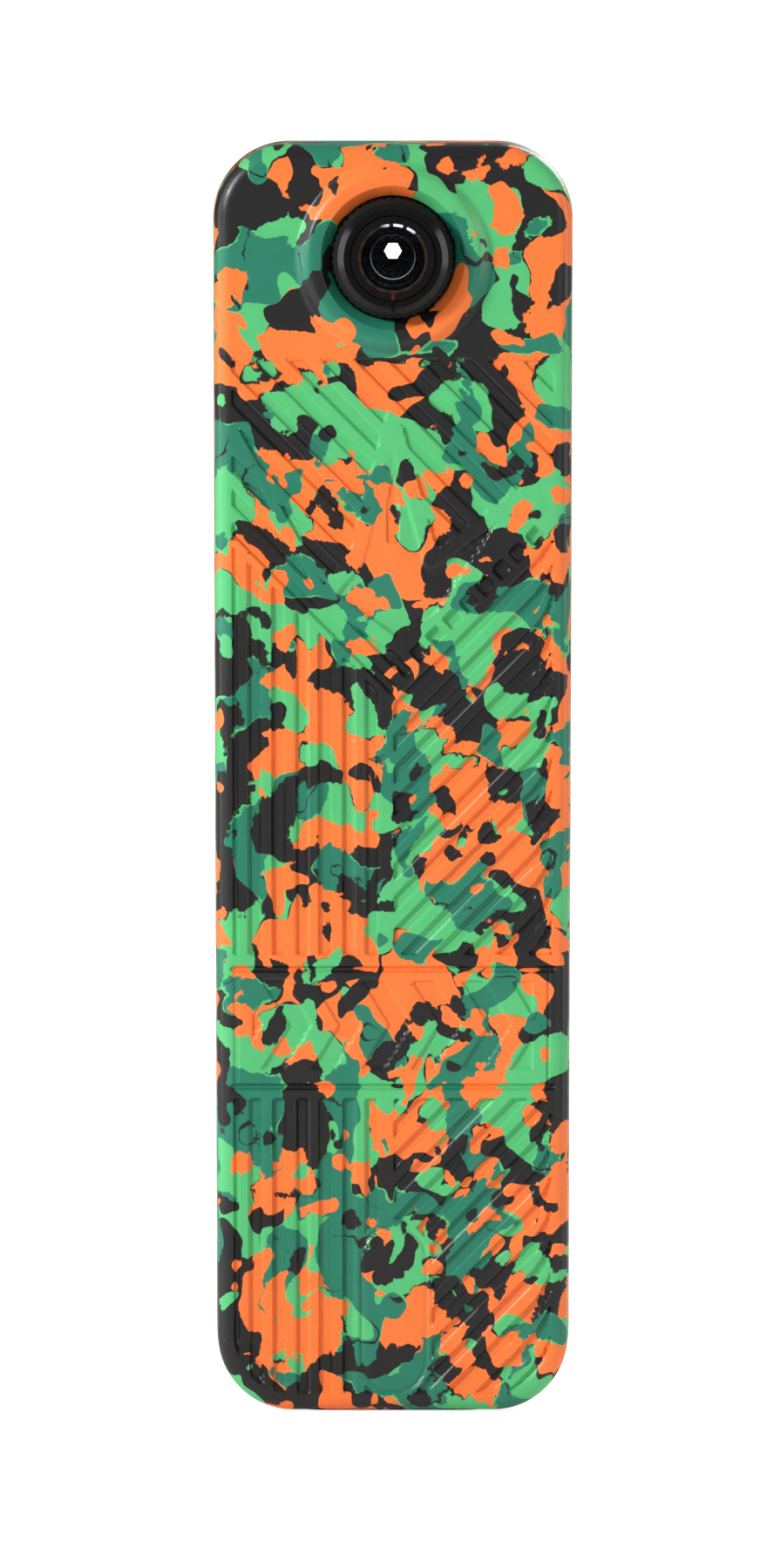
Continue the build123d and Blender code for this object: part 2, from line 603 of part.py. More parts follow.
def make_stop_stack():
    """The reticle glass, the six-sided aperture and their retaining ring, in the tube's far end."""
    back = TUBE_BACK - 3 * STOP_THICK
    with BuildPart() as reticle_glass:
        disc(STOP_RADIUS, back, back + STOP_THICK, EYE_Z)
    save(reticle_glass, "reticle_glass")
    with BuildPart() as hex_aperture:
        disc(STOP_RADIUS, back + STOP_THICK, back + 2 * STOP_THICK, EYE_Z)
        with BuildSketch(facing(back + 2 * STOP_THICK)) as opening:
            with Locations((0, EYE_Z + HEX_RISE)):
                RegularPolygon(HEX_RADIUS, 6)
        extrude(opening.sketch, amount=STOP_THICK, mode=Mode.SUBTRACT)
    save(hex_aperture, "hex_aperture")
    with BuildPart() as aperture_ring:
        tube(STOP_RADIUS, STOP_RADIUS - 1.1, TUBE_BACK - STOP_THICK, TUBE_BACK, EYE_Z)
    save(aperture_ring, "aperture_ring")


# ---- prisms and receiver ----


def make_prism_holder():
    with BuildPart() as prism_holder:
        block(2 * HOLDER_HALF, EYE_Z + HOLDER_LOW, EYE_Z + HOLDER_HIGH, TUBE_BACK, HOLDER_BACK)
        block(
            2 * PRISM_HALF, EYE_Z + HOLDER_LOW + HOLDER_WALL, EYE_Z + HOLDER_HIGH - HOLDER_WALL,
            TUBE_BACK, HOLDER_BACK, mode=Mode.SUBTRACT,
        )
        for side in (-1, 1):
            ear_wide = PRISM_POST_X + POST - HOLDER_HALF
            block(
                ear_wide, EYE_Z - EAR_HALF_HIGH, EYE_Z + EAR_HALF_HIGH, TUBE_BACK, TUBE_BACK + EAR_THICK,
                x=side * (HOLDER_HALF + ear_wide / 2),
            )
            disc(
                SMALL_SCREW + 0.1, TUBE_BACK, TUBE_BACK + EAR_THICK, EYE_Z,
                side * PRISM_POST_X, Mode.SUBTRACT,
            )
        low = EYE_Z + HOLDER_LOW
        column(FILTER_RADIUS, low, low + HOLDER_WALL, 0, RECEIVER_Y, Mode.SUBTRACT)
    save(prism_holder, "prism_holder")

    with BuildPart() as prism_screws:
        for x in (-PRISM_POST_X, PRISM_POST_X):
            seat = TUBE_BACK + EAR_THICK
            disc(SMALL_SCREW, TUBE_BACK - BITE, seat, EYE_Z, x)
            disc(SMALL_HEAD, seat, seat + SMALL_HEAD_HIGH, EYE_Z, x)
    save(prism_screws, "prism_screws")


def prism(corners):
    """A prism across X, from its (y, height above the axis) corners."""
    with BuildSketch(Plane.YZ.offset(-PRISM_HALF)) as outline:
        with BuildLine():
            Polyline(*[(y, EYE_Z + h) for y, h in corners], close=True)
        make_face()
    extrude(outline.sketch, amount=2 * PRISM_HALF)


def make_prisms():
    """A half-penta prism and a roof prism, which turn the image upright in a straight line."""
    with BuildPart() as half_penta_prism:
        prism([(5.2, -4.5), (5.2, 4.5), (-0.3, 6.8), (-2.8, 3.5)])
    save(half_penta_prism, "half_penta_prism")
    with BuildPart() as roof_prism:
        prism([(-2.9, 3.1), (4.8, -4.6), (4.6, -4.9), (-2.9, -7.9)])
    save(roof_prism, "roof_prism")


def make_receiver():
    top = EYE_Z + HOLDER_LOW
    with BuildPart() as receiver_filter:
        column(FILTER_RADIUS, top, top + FILTER_THICK, 0, RECEIVER_Y)
    save(receiver_filter, "receiver_filter")
    with BuildPart() as receiver_diode:
        column(SENSOR_RADIUS, top - SENSOR_HIGH, top - 0.1, 0, RECEIVER_Y)
    save(receiver_diode, "receiver_diode")
    with BuildPart() as receiver_board:
        with BuildSketch(Plane.XY.offset(top - SENSOR_HIGH - RECEIVER_BOARD_THICK)):
            with Locations((0, RECEIVER_Y + 1)):
                Rectangle(RECEIVER_BOARD_X, RECEIVER_BOARD_Y)
        extrude(amount=RECEIVER_BOARD_THICK)
    save(receiver_board, "receiver_board")


# ---- objective and laser ----


def make_objective():
    seat = BAY_FACE - SEAL
    with BuildPart() as objective_tube:
        turned(
            EYE_Z,
            [
                (OBJ_BORE, OBJ_BACK),
                (OBJ_OUTER, OBJ_BACK),
                (OBJ_OUTER, seat - FLANGE),
                (OBJ_FLANGE, seat - FLANGE),
                (OBJ_FLANGE, seat),
                (OBJ_OUTER, seat),
                (OBJ_OUTER, OBJ_FRONT - 0.4),
                (OBJ_OUTER - 0.4, OBJ_FRONT),
                (OBJ_LENS_RADIUS, OBJ_FRONT),
                (OBJ_LENS_RADIUS, OBJ_LENS_BACK),
                (OBJ_BORE, OBJ_LENS_BACK),
            ],
        )
    save(objective_tube, "objective_tube")
    with BuildPart() as objective_seal:
        tube(OBJ_FLANGE, OBJ_OUTER, seat, BAY_FACE, EYE_Z)
    save(objective_seal, "objective_seal")
    with BuildPart() as objective_lens:
        lens(EYE_Z, OBJ_LENS_RADIUS - 0.02, OBJ_LENS_BACK, OBJ_LENS_FRONT, FLAT, 0.5)
    save(objective_lens, "objective_lens")
    with BuildPart() as objective_ring:
        tube(OBJ_LENS_RADIUS, OBJ_LENS_RADIUS - 0.7, OBJ_LENS_FRONT, OBJ_LENS_FRONT + 0.8, EYE_Z)
    save(objective_ring, "objective_ring")


def make_emitter():
    seat = BAY_FACE - SEAL
    diode_seat = EMIT_BACK + DIODE_LONG
    with BuildPart() as emitter_tube:
        turned(
            LASER_Z,
            [
                (DIODE_FLANGE, EMIT_BACK),
                (EMIT_OUTER, EMIT_BACK),
                (EMIT_OUTER, seat - FLANGE),
                (EMIT_FLANGE, seat - FLANGE),
                (EMIT_FLANGE, seat),
                (EMIT_OUTER, seat),
                (EMIT_OUTER, EMIT_FRONT),
                (EMIT_LENS_RADIUS, EMIT_FRONT),
                (EMIT_LENS_RADIUS, EMIT_LENS_BACK),
                (EMIT_BORE, EMIT_LENS_BACK),
                (EMIT_BORE, diode_seat),
                (DIODE_FLANGE, diode_seat),
            ],
        )
    save(emitter_tube, "emitter_tube")
    with BuildPart() as emitter_seal:
        tube(EMIT_FLANGE, EMIT_OUTER, seat, BAY_FACE, LASER_Z)
    save(emitter_seal, "emitter_seal")
    with BuildPart() as emitter_lens:
        lens(LASER_Z, EMIT_LENS_RADIUS - 0.02, EMIT_LENS_BACK, EMIT_LENS_FRONT, FLAT, 0.45)
    save(emitter_lens, "emitter_lens")
    with BuildPart() as emitter_ring:
        tube(
            EMIT_LENS_RADIUS, EMIT_LENS_RADIUS - 0.6,
            EMIT_LENS_FRONT, EMIT_LENS_FRONT + 0.7, LASER_Z,
        )
    save(emitter_ring, "emitter_ring")
    with BuildPart() as laser_diode:
        disc(DIODE_FLANGE, EMIT_BACK, EMIT_BACK + DIODE_LIP, LASER_Z)
        disc(DIODE_CAN, EMIT_BACK + DIODE_LIP, diode_seat, LASER_Z)
    save(laser_diode, "laser_diode")
    with BuildPart() as driver_board:
        block(2 * DRIVER_HALF, LASER_Z - DRIVER_HALF, LASER_Z + DRIVER_HALF, EMIT_BACK - 1.0, EMIT_BACK)
    save(driver_board, "driver_board")


def make_bezel():
    with BuildPart() as lens_bezel:
        bezel_outline(BEZEL_RADIUS, CASE_FACE, BEZEL_FRONT)
        chamfer(lens_bezel.faces().sort_by(Axis.Y)[-1].edges(), 0.4)
        disc(OBJ_OUTER + SEAT_GAP, CASE_FACE, BEZEL_FRONT, EYE_Z, mode=Mode.SUBTRACT)
        disc(EMIT_OUTER + SEAT_GAP, CASE_FACE, BEZEL_FRONT, LASER_Z, mode=Mode.SUBTRACT)
    save(lens_bezel, "lens_bezel")


# ---- boards ----


def make_main_board():
    with BuildPart() as main_board:
        block(BOARD_WIDTH, BOARD_LOW, BOARD_HIGH, BOARD_BACK, BOARD_FRONT, 1.0)
        for x, z in mirrored(BOARD_POST_X, BOARD_POST_ZS):
            disc(SMALL_SCREW + 0.1, BOARD_BACK, BOARD_FRONT, z, x, Mode.SUBTRACT)
    save(main_board, "main_board")

    with BuildPart() as board_screws:
        for x, z in mirrored(BOARD_POST_X, BOARD_POST_ZS):
            disc(SMALL_SCREW, BOARD_BACK - BITE, BOARD_FRONT, z, x)
            disc(SMALL_HEAD, BOARD_FRONT, BOARD_FRONT + SMALL_HEAD_HIGH, z, x)
    save(board_screws, "board_screws")

    with BuildPart() as board_chips:
        for wide, tall, x, z, thick in CHIPS:
            block(wide, z - tall / 2, z + tall / 2, BOARD_BACK - thick, BOARD_BACK, x=x)
    save(board_chips, "board_chips")

    with BuildPart() as button_switches:
        case_top = BOARD_FRONT + SWITCH_HIGH - PLUNGER_HIGH
        for z in (MEASURE_Z, MODE_Z):
            block(SWITCH_WIDE, z - SWITCH_WIDE / 2, z + SWITCH_WIDE / 2, BOARD_FRONT, case_top)
            disc(SWITCH_PLUNGER, case_top, BOARD_FRONT + SWITCH_HIGH, z)
    save(button_switches, "button_switches")


# ---- buttons ----


def measure_outline(grow, y_near, y_far, mode=Mode.ADD):
    """The measuring button's outline, grown by a gap where it is cut from the armour."""
    block(
        MEASURE_WIDE + 2 * grow, MEASURE_Z - MEASURE_TALL / 2 - grow,
        MEASURE_Z + MEASURE_TALL / 2 + grow, y_near, y_far, MEASURE_CORNER, mode=mode,
    )


def make_buttons():
    flange_end = BAY_FACE - FLANGE_GAP
    with BuildPart() as measure_button:
        measure_outline(0, BUTTON_FLOOR, FACE + MEASURE_PROUD)
        fillet(measure_button.faces().sort_by(Axis.Y)[-1].edges(), 0.6)
        disc(MEASURE_STEM, STEM_END, BUTTON_FLOOR, MEASURE_Z)
        disc(MEASURE_FLANGE, flange_end - FLANGE_LIP, flange_end, MEASURE_Z)
    save(measure_button, "measure_button")
    with BuildPart() as mode_button:
        disc(MODE_CAP, BUTTON_FLOOR, FACE + MODE_PROUD, MODE_Z)
        fillet(mode_button.faces().sort_by(Axis.Y)[-1].edges(), 0.4)
        disc(MODE_STEM, STEM_END, BUTTON_FLOOR, MODE_Z)
        disc(MODE_FLANGE, flange_end - FLANGE_LIP, flange_end, MODE_Z)
    save(mode_button, "mode_button")


# ---- cells, tray and door ----


def cell_ends(side):
    """The lowest points of a cell's body and its nub. The left cell points up, the right one down."""
    low, high = TRAY_LOW + TRAY_WALL, TRAY_HIGH - TRAY_WALL
    if side < 0:
        nub = high - CONTACT - NUB_HIGH
        return nub - CELL_BODY, nub
    nub = low + CONTACT
    return nub + NUB_HIGH, nub


def make_battery_tray():
    with BuildPart() as battery_tray:
        block(TRAY_WIDTH, TRAY_LOW, TRAY_HIGH, TRAY_BACK, BAY_FACE)
        block(
            TRAY_WIDTH - 2 * TRAY_WALL, TRAY_LOW + TRAY_WALL, TRAY_HIGH - TRAY_WALL,
            TRAY_BACK + TRAY_WALL, BAY_FACE, mode=Mode.SUBTRACT,
        )
        block(
            FIXED_KNUCKLE_END * 2 + 4.2, HINGE_Z - 3.4, TRAY_HIGH,
            BAY_FACE - 2.1, BAY_FACE, mode=Mode.SUBTRACT,
        )
    save(battery_tray, "battery_tray")


def make_cells():
    with BuildPart() as battery_cells:
        for side in (-1, 1):
            body, nub = cell_ends(side)
            column(CELL_RADIUS, body, body + CELL_BODY, side * CELL_X, CELL_Y)
            column(NUB_RADIUS, nub, nub + NUB_HIGH, side * CELL_X, CELL_Y)
    save(battery_cells, "battery_cells")

    low, high = TRAY_LOW + TRAY_WALL, TRAY_HIGH - TRAY_WALL
    with BuildPart() as battery_contacts:
        for side, z in ((-1, high - CONTACT), (1, low)):
            with BuildSketch(Plane.XY.offset(z)) as plate:
                with Locations((side * CELL_X, CELL_Y)):
                    RectangleRounded(CONTACT_X, CONTACT_Y, 1)
            extrude(plate.sketch, amount=CONTACT)
    save(battery_contacts, "battery_contacts")


def make_springs():
    """One coil spring under the left cell and one above the right cell."""
    with BuildPart() as battery_springs:
        for side in (-1, 1):
            body, _ = cell_ends(side)
            low = TRAY_LOW + TRAY_WALL if side < 0 else body + CELL_BODY
            high = body if side < 0 else TRAY_HIGH - TRAY_WALL
            height = high - low - 2 * SPRING_WIRE
            with BuildLine() as path:
                Helix(
                    pitch=height / SPRING_TURNS, height=height, radius=SPRING_RADIUS,
                    center=(side * CELL_X, CELL_Y, low + SPRING_WIRE),
                )
            with BuildSketch(Plane(path.line @ 0, z_dir=path.line % 0)) as wire:
                Circle(SPRING_WIRE - 0.01)
            sweep(wire.sketch, path=path.line, is_frenet=True)
    save(battery_springs, "battery_springs")


def make_door():
    """The hatch lid turns on a pin above the cells and snaps shut at its lower edge."""
    with BuildPart() as battery_door:
        block(DOOR_WIDTH, DOOR_LOW, DOOR_HIGH, CASE_FACE, LID_FRONT, 1.2)
        block(
            HATCH_WIDTH - 2 * DOOR_GAP, HATCH_LOW + DOOR_GAP, HATCH_HIGH - 4 * DOOR_GAP,
            CASE_FACE - HATCH_LIP, CASE_FACE, 1.0,
        )
        block(2 * DOOR_KNUCKLE, DOOR_HIGH - 1, HINGE_Z, HINGE_Y - 0.4, LID_FRONT)
        knuckle(0, 2 * DOOR_KNUCKLE)
        knuckle(0, 2 * DOOR_KNUCKLE, HINGE_PIN + PIN_GAP, Mode.SUBTRACT)
    save(battery_door, "battery_door")
    with BuildPart() as battery_door_skin:
        block(DOOR_WIDTH, DOOR_LOW, DOOR_HIGH, LID_FRONT, FACE, 1.2)
        chamfer(battery_door_skin.faces().sort_by(Axis.Y)[-1].edges(), 0.3)
    save(battery_door_skin, "battery_door_skin")
    with BuildPart() as hinge_pin:
        knuckle(0, 2 * FIXED_KNUCKLE_END, HINGE_PIN)
    save(hinge_pin, "hinge_pin")


os.makedirs("parts", exist_ok=True)
make_rear_armour()
make_front_armour()
make_rear_casing()
make_front_casing()
make_casing_gasket()
make_casing_screws()
make_base_plate()
make_tripod_insert()
make_base_plate_screws()
make_eyepiece_tube()
make_eyepiece_seal()
make_eyepiece_nut()
make_dioptre_ring()
make_lens_cell()
make_crown_ring()
make_eye_lenses()
make_stop_stack()
make_prism_holder()
make_prisms()
make_receiver()
make_objective()
make_emitter()
make_bezel()
make_main_board()
make_buttons()
make_battery_tray()
make_cells()
make_springs()
make_door()
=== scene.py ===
"""The looks of the laser rangefinder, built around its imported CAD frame.

Everything is in the CAD's frame: +Z up along the body, -Y towards the user's eye, with the origin under
the base plate. Both armour halves are rebuilt here as closed meshes with their moulded relief, and every
other CAD piece keeps its shape and gets a material. Sizes are in millimetres, and MM turns them into
metres. On the armour a place is given by x, and by t, the distance below the top of the body.
"""

import math

import bmesh
import bpy
import numpy as np
from mathutils import Matrix, Vector


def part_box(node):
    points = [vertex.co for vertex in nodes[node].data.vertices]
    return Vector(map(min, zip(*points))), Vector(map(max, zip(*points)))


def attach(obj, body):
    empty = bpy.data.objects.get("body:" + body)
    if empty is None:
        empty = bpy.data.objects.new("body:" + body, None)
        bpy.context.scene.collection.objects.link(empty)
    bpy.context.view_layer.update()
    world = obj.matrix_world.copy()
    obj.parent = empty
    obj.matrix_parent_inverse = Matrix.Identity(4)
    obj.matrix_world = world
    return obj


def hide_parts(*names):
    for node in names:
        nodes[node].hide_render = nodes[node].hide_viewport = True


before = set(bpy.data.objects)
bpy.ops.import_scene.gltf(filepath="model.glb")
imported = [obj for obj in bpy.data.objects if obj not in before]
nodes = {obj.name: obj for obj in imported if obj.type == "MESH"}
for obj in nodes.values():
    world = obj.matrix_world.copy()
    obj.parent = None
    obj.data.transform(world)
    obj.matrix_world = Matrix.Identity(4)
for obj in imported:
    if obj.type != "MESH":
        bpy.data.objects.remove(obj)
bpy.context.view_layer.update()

MM = 0.001


def span(node, axis):
    """A node's lowest and highest value along an axis, in millimetres."""
    low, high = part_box(node)
    return low[axis] / MM, high[axis] / MM


def middle(node, axis):
    return sum(span(node, axis)) / 2


# ---- the body ----
BOTTOM, TOP = span("rear_armour", 2)
HALF_WIDTH = 25.0  # at the top
LOW_HALF_WIDTH = 24.5  # at the bottom
FACE = 15.0  # depth of each main face from the seam
SKIN = 2.0  # thickness of the rubber
CORNER = 10.7  # radius of the body's corners
EDGE = 2.2  # rounding between a face and the sides
DRAFT = 0.3  # how much the sides lean in between the seam and a face
EYE_Z = middle("dioptre_ring", 2)
TALL = TOP - BOTTOM

# ---- the armour meshes ----
STEP = 0.34  # size of a mesh cell on the faces
CORNER_STEPS = 24
FILLET_STEPS = 8
CREASE = math.radians(21)  # edges that bend more than this are shaded as creases
PLATE_HALF_X, PLATE_HALF_Y = 13.1, 10.55  # the base plate's pocket
CUT_BACK = 0.12  # how far the face is cut back round an opening
REACH = 1.5  # how far from an opening its torn edge can lie

# ---- the relief ----
GROOVE = 0.55  # depth of the grooves
SOFT = 0.34  # width over which an edge rounds off
RIB_HALF = 0.8  # half of a groove's width
RIB_TOP = 30.1  # where the ribs begin
SIDE_MARGIN = 22.4
UPRIGHT_PITCH, UPRIGHT_FIRST = 3.27, -2.95
SLANT_PITCH, SLANT_SHIFT = 3.28, 34.3  # the ribs that fall to the right
RISING_PITCH, RISING_SHIFT = 3.16, 78.9  # the ribs that rise to the right
CURL_START, CURL = 19.5, 0.22  # where the rising ribs begin to curl up, and how fast
SPINE_LEFT, SPINE_RIGHT = -1.9, 0.1  # the plain strip between upright and rising ribs
LEFT_CUT = 78.2  # the upright ribs begin on the 45 degree line t - x = LEFT_CUT
BAR_EDGE = 77.3  # the rising ribs begin on the 45 degree line t + x = BAR_EDGE
SLANT_GAP = 1.6  # the plain strip between the upright and the slanted ribs, along t
MAIN_TOP = 20.0  # above every upright rib
ABOVE_PANEL, BELOW_PANEL = 1.1, 0.9  # the plain strips above and below the panel
FOOT_MARGIN = 2.8
FAR = 9.0  # a distance that is safely outside every shape
ROOT2 = math.sqrt(2)

# The framed panel, its two lines as (t, half of the length), and its row of chevrons.
PANEL_HIGH, PANEL_LOW = 113.6, 131.6
PANEL_LINES, LINE_HALF = [(114.5, 22.6), (130.8, 24.0)], 0.28
PANEL_FRAME, FRAME_CORNER, FRAME_HALF = (-22.0, 21.9, 113.0, 132.4), 0.5, 0.15
FRAME_T, FRAME_REACH = 122.6, 8.0
CHEVRON_T, CHEVRON_REACH, CHEVRON_ROW = 122.2, 6.1, 19.6
CHEVRON_PITCH, CHEVRON_HALF, CHEVRON_LEAN, CHEVRON_SQUEEZE = 7.0, 1.35, 0.62, 0.85

# The smooth pad at the foot.
PAD_X, PAD_T, PAD_HALF, PAD_RADIUS, PAD_GAP = 0.15, 161.7, 11.8, 4.75, 0.6

# The arrow-shaped field in the middle: its outline, clockwise from the tip.
ARROW = [
    (0.0, 38.0), (5.5, 57.9), (18.4, 48.4), (13.5, 56.3), (6.3, 66.5),
    (0.3, 69.7), (-6.5, 64.9), (-9.6, 62.7), (-5.3, 57.7),
]
ARROW_RIM = 1.0
ARM, ARM_HALF = [(-23.0, 38.2), (-9.6, 62.7)], 0.75
WING_SLOPE, WING_LENGTH = 0.737, 1.242  # the arrow's lower right edge
ARROW_TIP = [(-0.9, 55.5), (-0.7, 49.0), (0.0, 46.2), (0.7, 49.0), (0.9, 55.5)]

# The pierced bar below the arrow: its windows' middles lie on the 45 degree line t + x = BAR_MIDDLE.
BAR_WIDE, BAR_MIDDLE, BAR_RIM = 7.2, 74.3, 1.0
MIDDLE_HALF = 0.6  # half of the strip where the left and the right slanted ribs meet
WINDOWS, WINDOW_FIRST, WINDOW_PITCH, WINDOW_HALF, WINDOW_CORNER = 8, 3.7, 2.3, 1.0, 0.35
SLOT, SLOT_HALF = [(-0.2, 71.0), (1.9, 73.3)], 0.6


# ======== distances: negative inside a shape, positive outside ========


def rib_distance(across, pitch, half=RIB_HALF):
    """Distance to the nearest of a row of grooves, where across is measured at right angles to them."""
    return np.abs((across + pitch / 2) % pitch - pitch / 2) - half


def box_distance(x, t, x0, x1, t0, t1, rounding=0.0):
    dx = np.abs(x - (x0 + x1) / 2) - (x1 - x0) / 2 + rounding
    dt = np.abs(t - (t0 + t1) / 2) - (t1 - t0) / 2 + rounding
    outside = np.hypot(np.maximum(dx, 0), np.maximum(dt, 0))
    return outside + np.minimum(np.maximum(dx, dt), 0) - rounding


def segment_distance(x, t, a, b):
    """Distance to the straight line from a to b."""
    ax, at, bx, bt = *a, *b
    along = np.clip(((x - ax) * (bx - ax) + (t - at) * (bt - at)) / ((bx - ax) ** 2 + (bt - at) ** 2), 0, 1)
    return np.hypot(x - ax - along * (bx - ax), t - at - along * (bt - at))


def polygon_distance(x, t, corners):
    """Signed distance to a closed outline of straight sides."""
    nearest = np.full(np.shape(x), np.inf)
    inside = np.zeros(np.shape(x), bool)
    for a, b in zip(corners, corners[1:] + corners[:1]):
        nearest = np.minimum(nearest, segment_distance(x, t, a, b))
        crosses = (a[1] > t) != (b[1] > t)
        rise = b[1] - a[1] if b[1] != a[1] else 1e-9
        inside ^= crosses & (x < a[0] + (t - a[1]) / rise * (b[0] - a[0]))
    return np.where(inside, -nearest, nearest)


def body_distance(x, t):
    """Signed distance to the body's outline."""
    return box_distance(x, t, -HALF_WIDTH, HALF_WIDTH, 0, TALL, CORNER)


def carve(distance, depth=GROOVE, soft=SOFT):
    """A groove's depth: full well inside the shape, none outside, and rounded between."""
    s = np.clip(0.5 - distance / soft, 0, 1)
    return depth * s * s * (3 - 2 * s)


# ======== the relief of the user's side ========


def upright_ribs(x, t):
    """The upright ribs of the left half."""
    return rib_distance(x - UPRIGHT_FIRST, UPRIGHT_PITCH)


def slanted_ribs(x, t):
    """The ribs of the upper part, which fall to the right."""
    return rib_distance((x - t + SLANT_SHIFT) / ROOT2, SLANT_PITCH)


def rising_ribs(x, t):
    """The rising ribs, whose outer ends curl up beside the margin."""
    curl = np.maximum(x - CURL_START, 0) ** 2 * CURL
    return rib_distance((x + t + curl - RISING_SHIFT) / ROOT2, RISING_PITCH)


def upper_relief(x, t):
    """The slanted ribs round the arrow, the arrow itself and the pierced bar below it."""
    arrow = polygon_distance(x, t, ARROW)
    clear_of_arm = ARM_HALF - segment_distance(x, t, *ARM)
    within = np.maximum.reduce([RIB_TOP - t, np.abs(x) - SIDE_MARGIN, ARROW_RIM - arrow, clear_of_arm])
    above_bar = (t + x - BAR_EDGE + BAR_WIDE) / ROOT2
    left = np.maximum(within, (t - x - LEFT_CUT + SLANT_GAP) / ROOT2)
    left = np.maximum(left, np.where(x > -2, (t + x - BAR_EDGE + BAR_RIM) / ROOT2, -FAR))
    wing_x, wing_t = ARROW[1]
    below_wing = (t - wing_t + WING_SLOPE * (x - wing_x)) / WING_LENGTH + ARROW_RIM
    left_part = np.where(x < MIDDLE_HALF, left, FAR)
    right_part = np.where(x >= -MIDDLE_HALF, np.maximum.reduce([within, above_bar, below_wing]), FAR)
    depth = carve(np.maximum(slanted_ribs(x, t), np.minimum(left_part, right_part)))

    # The arrow's faces fall away from its middle line and towards its foot.
    facet = 0.10 + 0.055 * np.abs(x - 0.2) + 0.05 * np.maximum(t - 58 - 0.9 * np.abs(x), 0)
    depth = np.maximum(depth, carve(arrow + 1.25, 1.0, 0.5) * np.minimum(facet, 0.5))
    depth = np.maximum(depth, carve(polygon_distance(x, t, ARROW_TIP), 0.5))

    for k in range(WINDOWS):
        window_x = WINDOW_FIRST + WINDOW_PITCH * k
        window_t = BAR_MIDDLE - window_x
        along = (x - window_x - (t - window_t)) / ROOT2
        across = (x - window_x + (t - window_t)) / ROOT2
        sides = (-WINDOW_HALF, WINDOW_HALF, -WINDOW_HALF, WINDOW_HALF)
        depth = np.maximum(depth, carve(box_distance(along, across, *sides, WINDOW_CORNER), 0.75, 0.4))
    return np.maximum(depth, carve(segment_distance(x, t, *SLOT) - SLOT_HALF, 0.7, 0.4))


def pad_distance(x, t):
    """Signed distance to the outline of the pad at the foot."""
    return np.hypot(x - PAD_X, np.maximum(np.abs(t - PAD_T) - PAD_HALF + PAD_RADIUS, 0)) - PAD_RADIUS


def side_ribs(x, t, high, low, left_cut, right_cut):
    """Upright ribs left of the spine and rising ribs right of it, between two heights."""
    inside = body_distance(x, t) + FOOT_MARGIN
    common = np.maximum.reduce([high - t, t - low, inside, PAD_GAP - pad_distance(x, t)])
    upright = np.maximum.reduce([upright_ribs(x, t), common, x - SPINE_LEFT, left_cut])
    beside = np.maximum(SPINE_RIGHT - x, x - SIDE_MARGIN - 0.3)
    rising = np.maximum.reduce([rising_ribs(x, t), common, beside, right_cut])
    return np.maximum(carve(upright), carve(rising))


def panel_relief(x, t):
    """A framed panel with a row of sunk chevrons."""
    depth = np.zeros(np.shape(x))
    for line_t, reach in PANEL_LINES:
        line = np.abs(t - line_t) - LINE_HALF + np.maximum(np.abs(x) - reach, 0)
        depth = np.maximum(depth, carve(line, 0.5, 0.35))
    frame_line = np.abs(box_distance(x, t, *PANEL_FRAME, FRAME_CORNER)) - FRAME_HALF
    depth = np.maximum(depth, carve(np.maximum(frame_line, np.abs(t - FRAME_T) - FRAME_REACH), 0.35, 0.4))
    from_middle = np.abs(t - CHEVRON_T)
    within = np.maximum(from_middle - CHEVRON_REACH, np.abs(x + 0.1) - CHEVRON_ROW)
    bent = (x + CHEVRON_LEAN * from_middle - 1.0) * CHEVRON_SQUEEZE
    chevrons = rib_distance(bent, CHEVRON_PITCH * CHEVRON_SQUEEZE, CHEVRON_HALF)
    return np.maximum(depth, carve(np.maximum(chevrons, within), 0.42, 0.4))


def pad_relief(x, t):
    """The smooth pad at the foot has a fine line round it."""
    return carve(np.abs(pad_distance(x, t) + 0.25) - 0.22, 0.22, 0.4)


def rear_relief(x, t):
    """The depth of the whole relief on the user's side."""
    none = np.full(np.shape(x), -FAR)
    depth = upper_relief(x, t)
    left_cut, right_cut = (x - t + LEFT_CUT) / ROOT2, (BAR_EDGE - x - t) / ROOT2
    main = side_ribs(x, t, MAIN_TOP, PANEL_HIGH - ABOVE_PANEL, left_cut, right_cut)
    foot = side_ribs(x, t, PANEL_LOW + BELOW_PANEL, TALL - FOOT_MARGIN, none, none)
    return np.maximum.reduce([depth, main, foot, panel_relief(x, t), pad_relief(x, t)])


# ======== openings in the armour ========


def circle(x, z, radius, steps=96):
    """A closed ring of places, and the distance to it."""
    turn = np.arange(steps) * 2 * math.pi / steps
    ring = np.stack([x + radius * np.cos(turn), z + radius * np.sin(turn)], 1)
    return ring, lambda px, pz: np.hypot(px - x, pz - z) - radius


def rounded_box(x0, x1, z0, z1, radius, spacing=0.6):
    """A rounded rectangle as a closed ring of places, and the distance to it."""
    ring = []
    arcs = [(x1, z1, 0), (x0, z1, 90), (x0, z0, 180), (x1, z0, 270)]
    centres = [
        (cx - math.copysign(radius, cx - (x0 + x1) / 2), cz - math.copysign(radius, cz - (z0 + z1) / 2), a)
        for cx, cz, a in arcs
    ]
    arc_steps = max(4, int(radius * math.pi / 2 / spacing) + 1)
    for cx, cz, start in centres:
        for k in range(arc_steps + 1):
            a = math.radians(start + 90 * k / arc_steps)
            ring.append((cx + radius * math.cos(a), cz + radius * math.sin(a)))
    full = []
    for a, b in zip(ring, ring[1:] + ring[:1]):
        parts = max(1, int(math.dist(a, b) / spacing))
        full += [(a[0] + (b[0] - a[0]) * k / parts, a[1] + (b[1] - a[1]) * k / parts) for k in range(parts)]
    return np.array(full), lambda px, pz: box_distance(px, pz, x0, x1, z0, z1, radius)


def slot_ring(x, z0, z1, radius):
    return rounded_box(x - radius, x + radius, z0 - radius, z1 + radius, radius - 0.001)


# ======== the armour's mesh ========


def straight(a, b, count):
    return [a + (b - a) * k / count for k in range(count)]


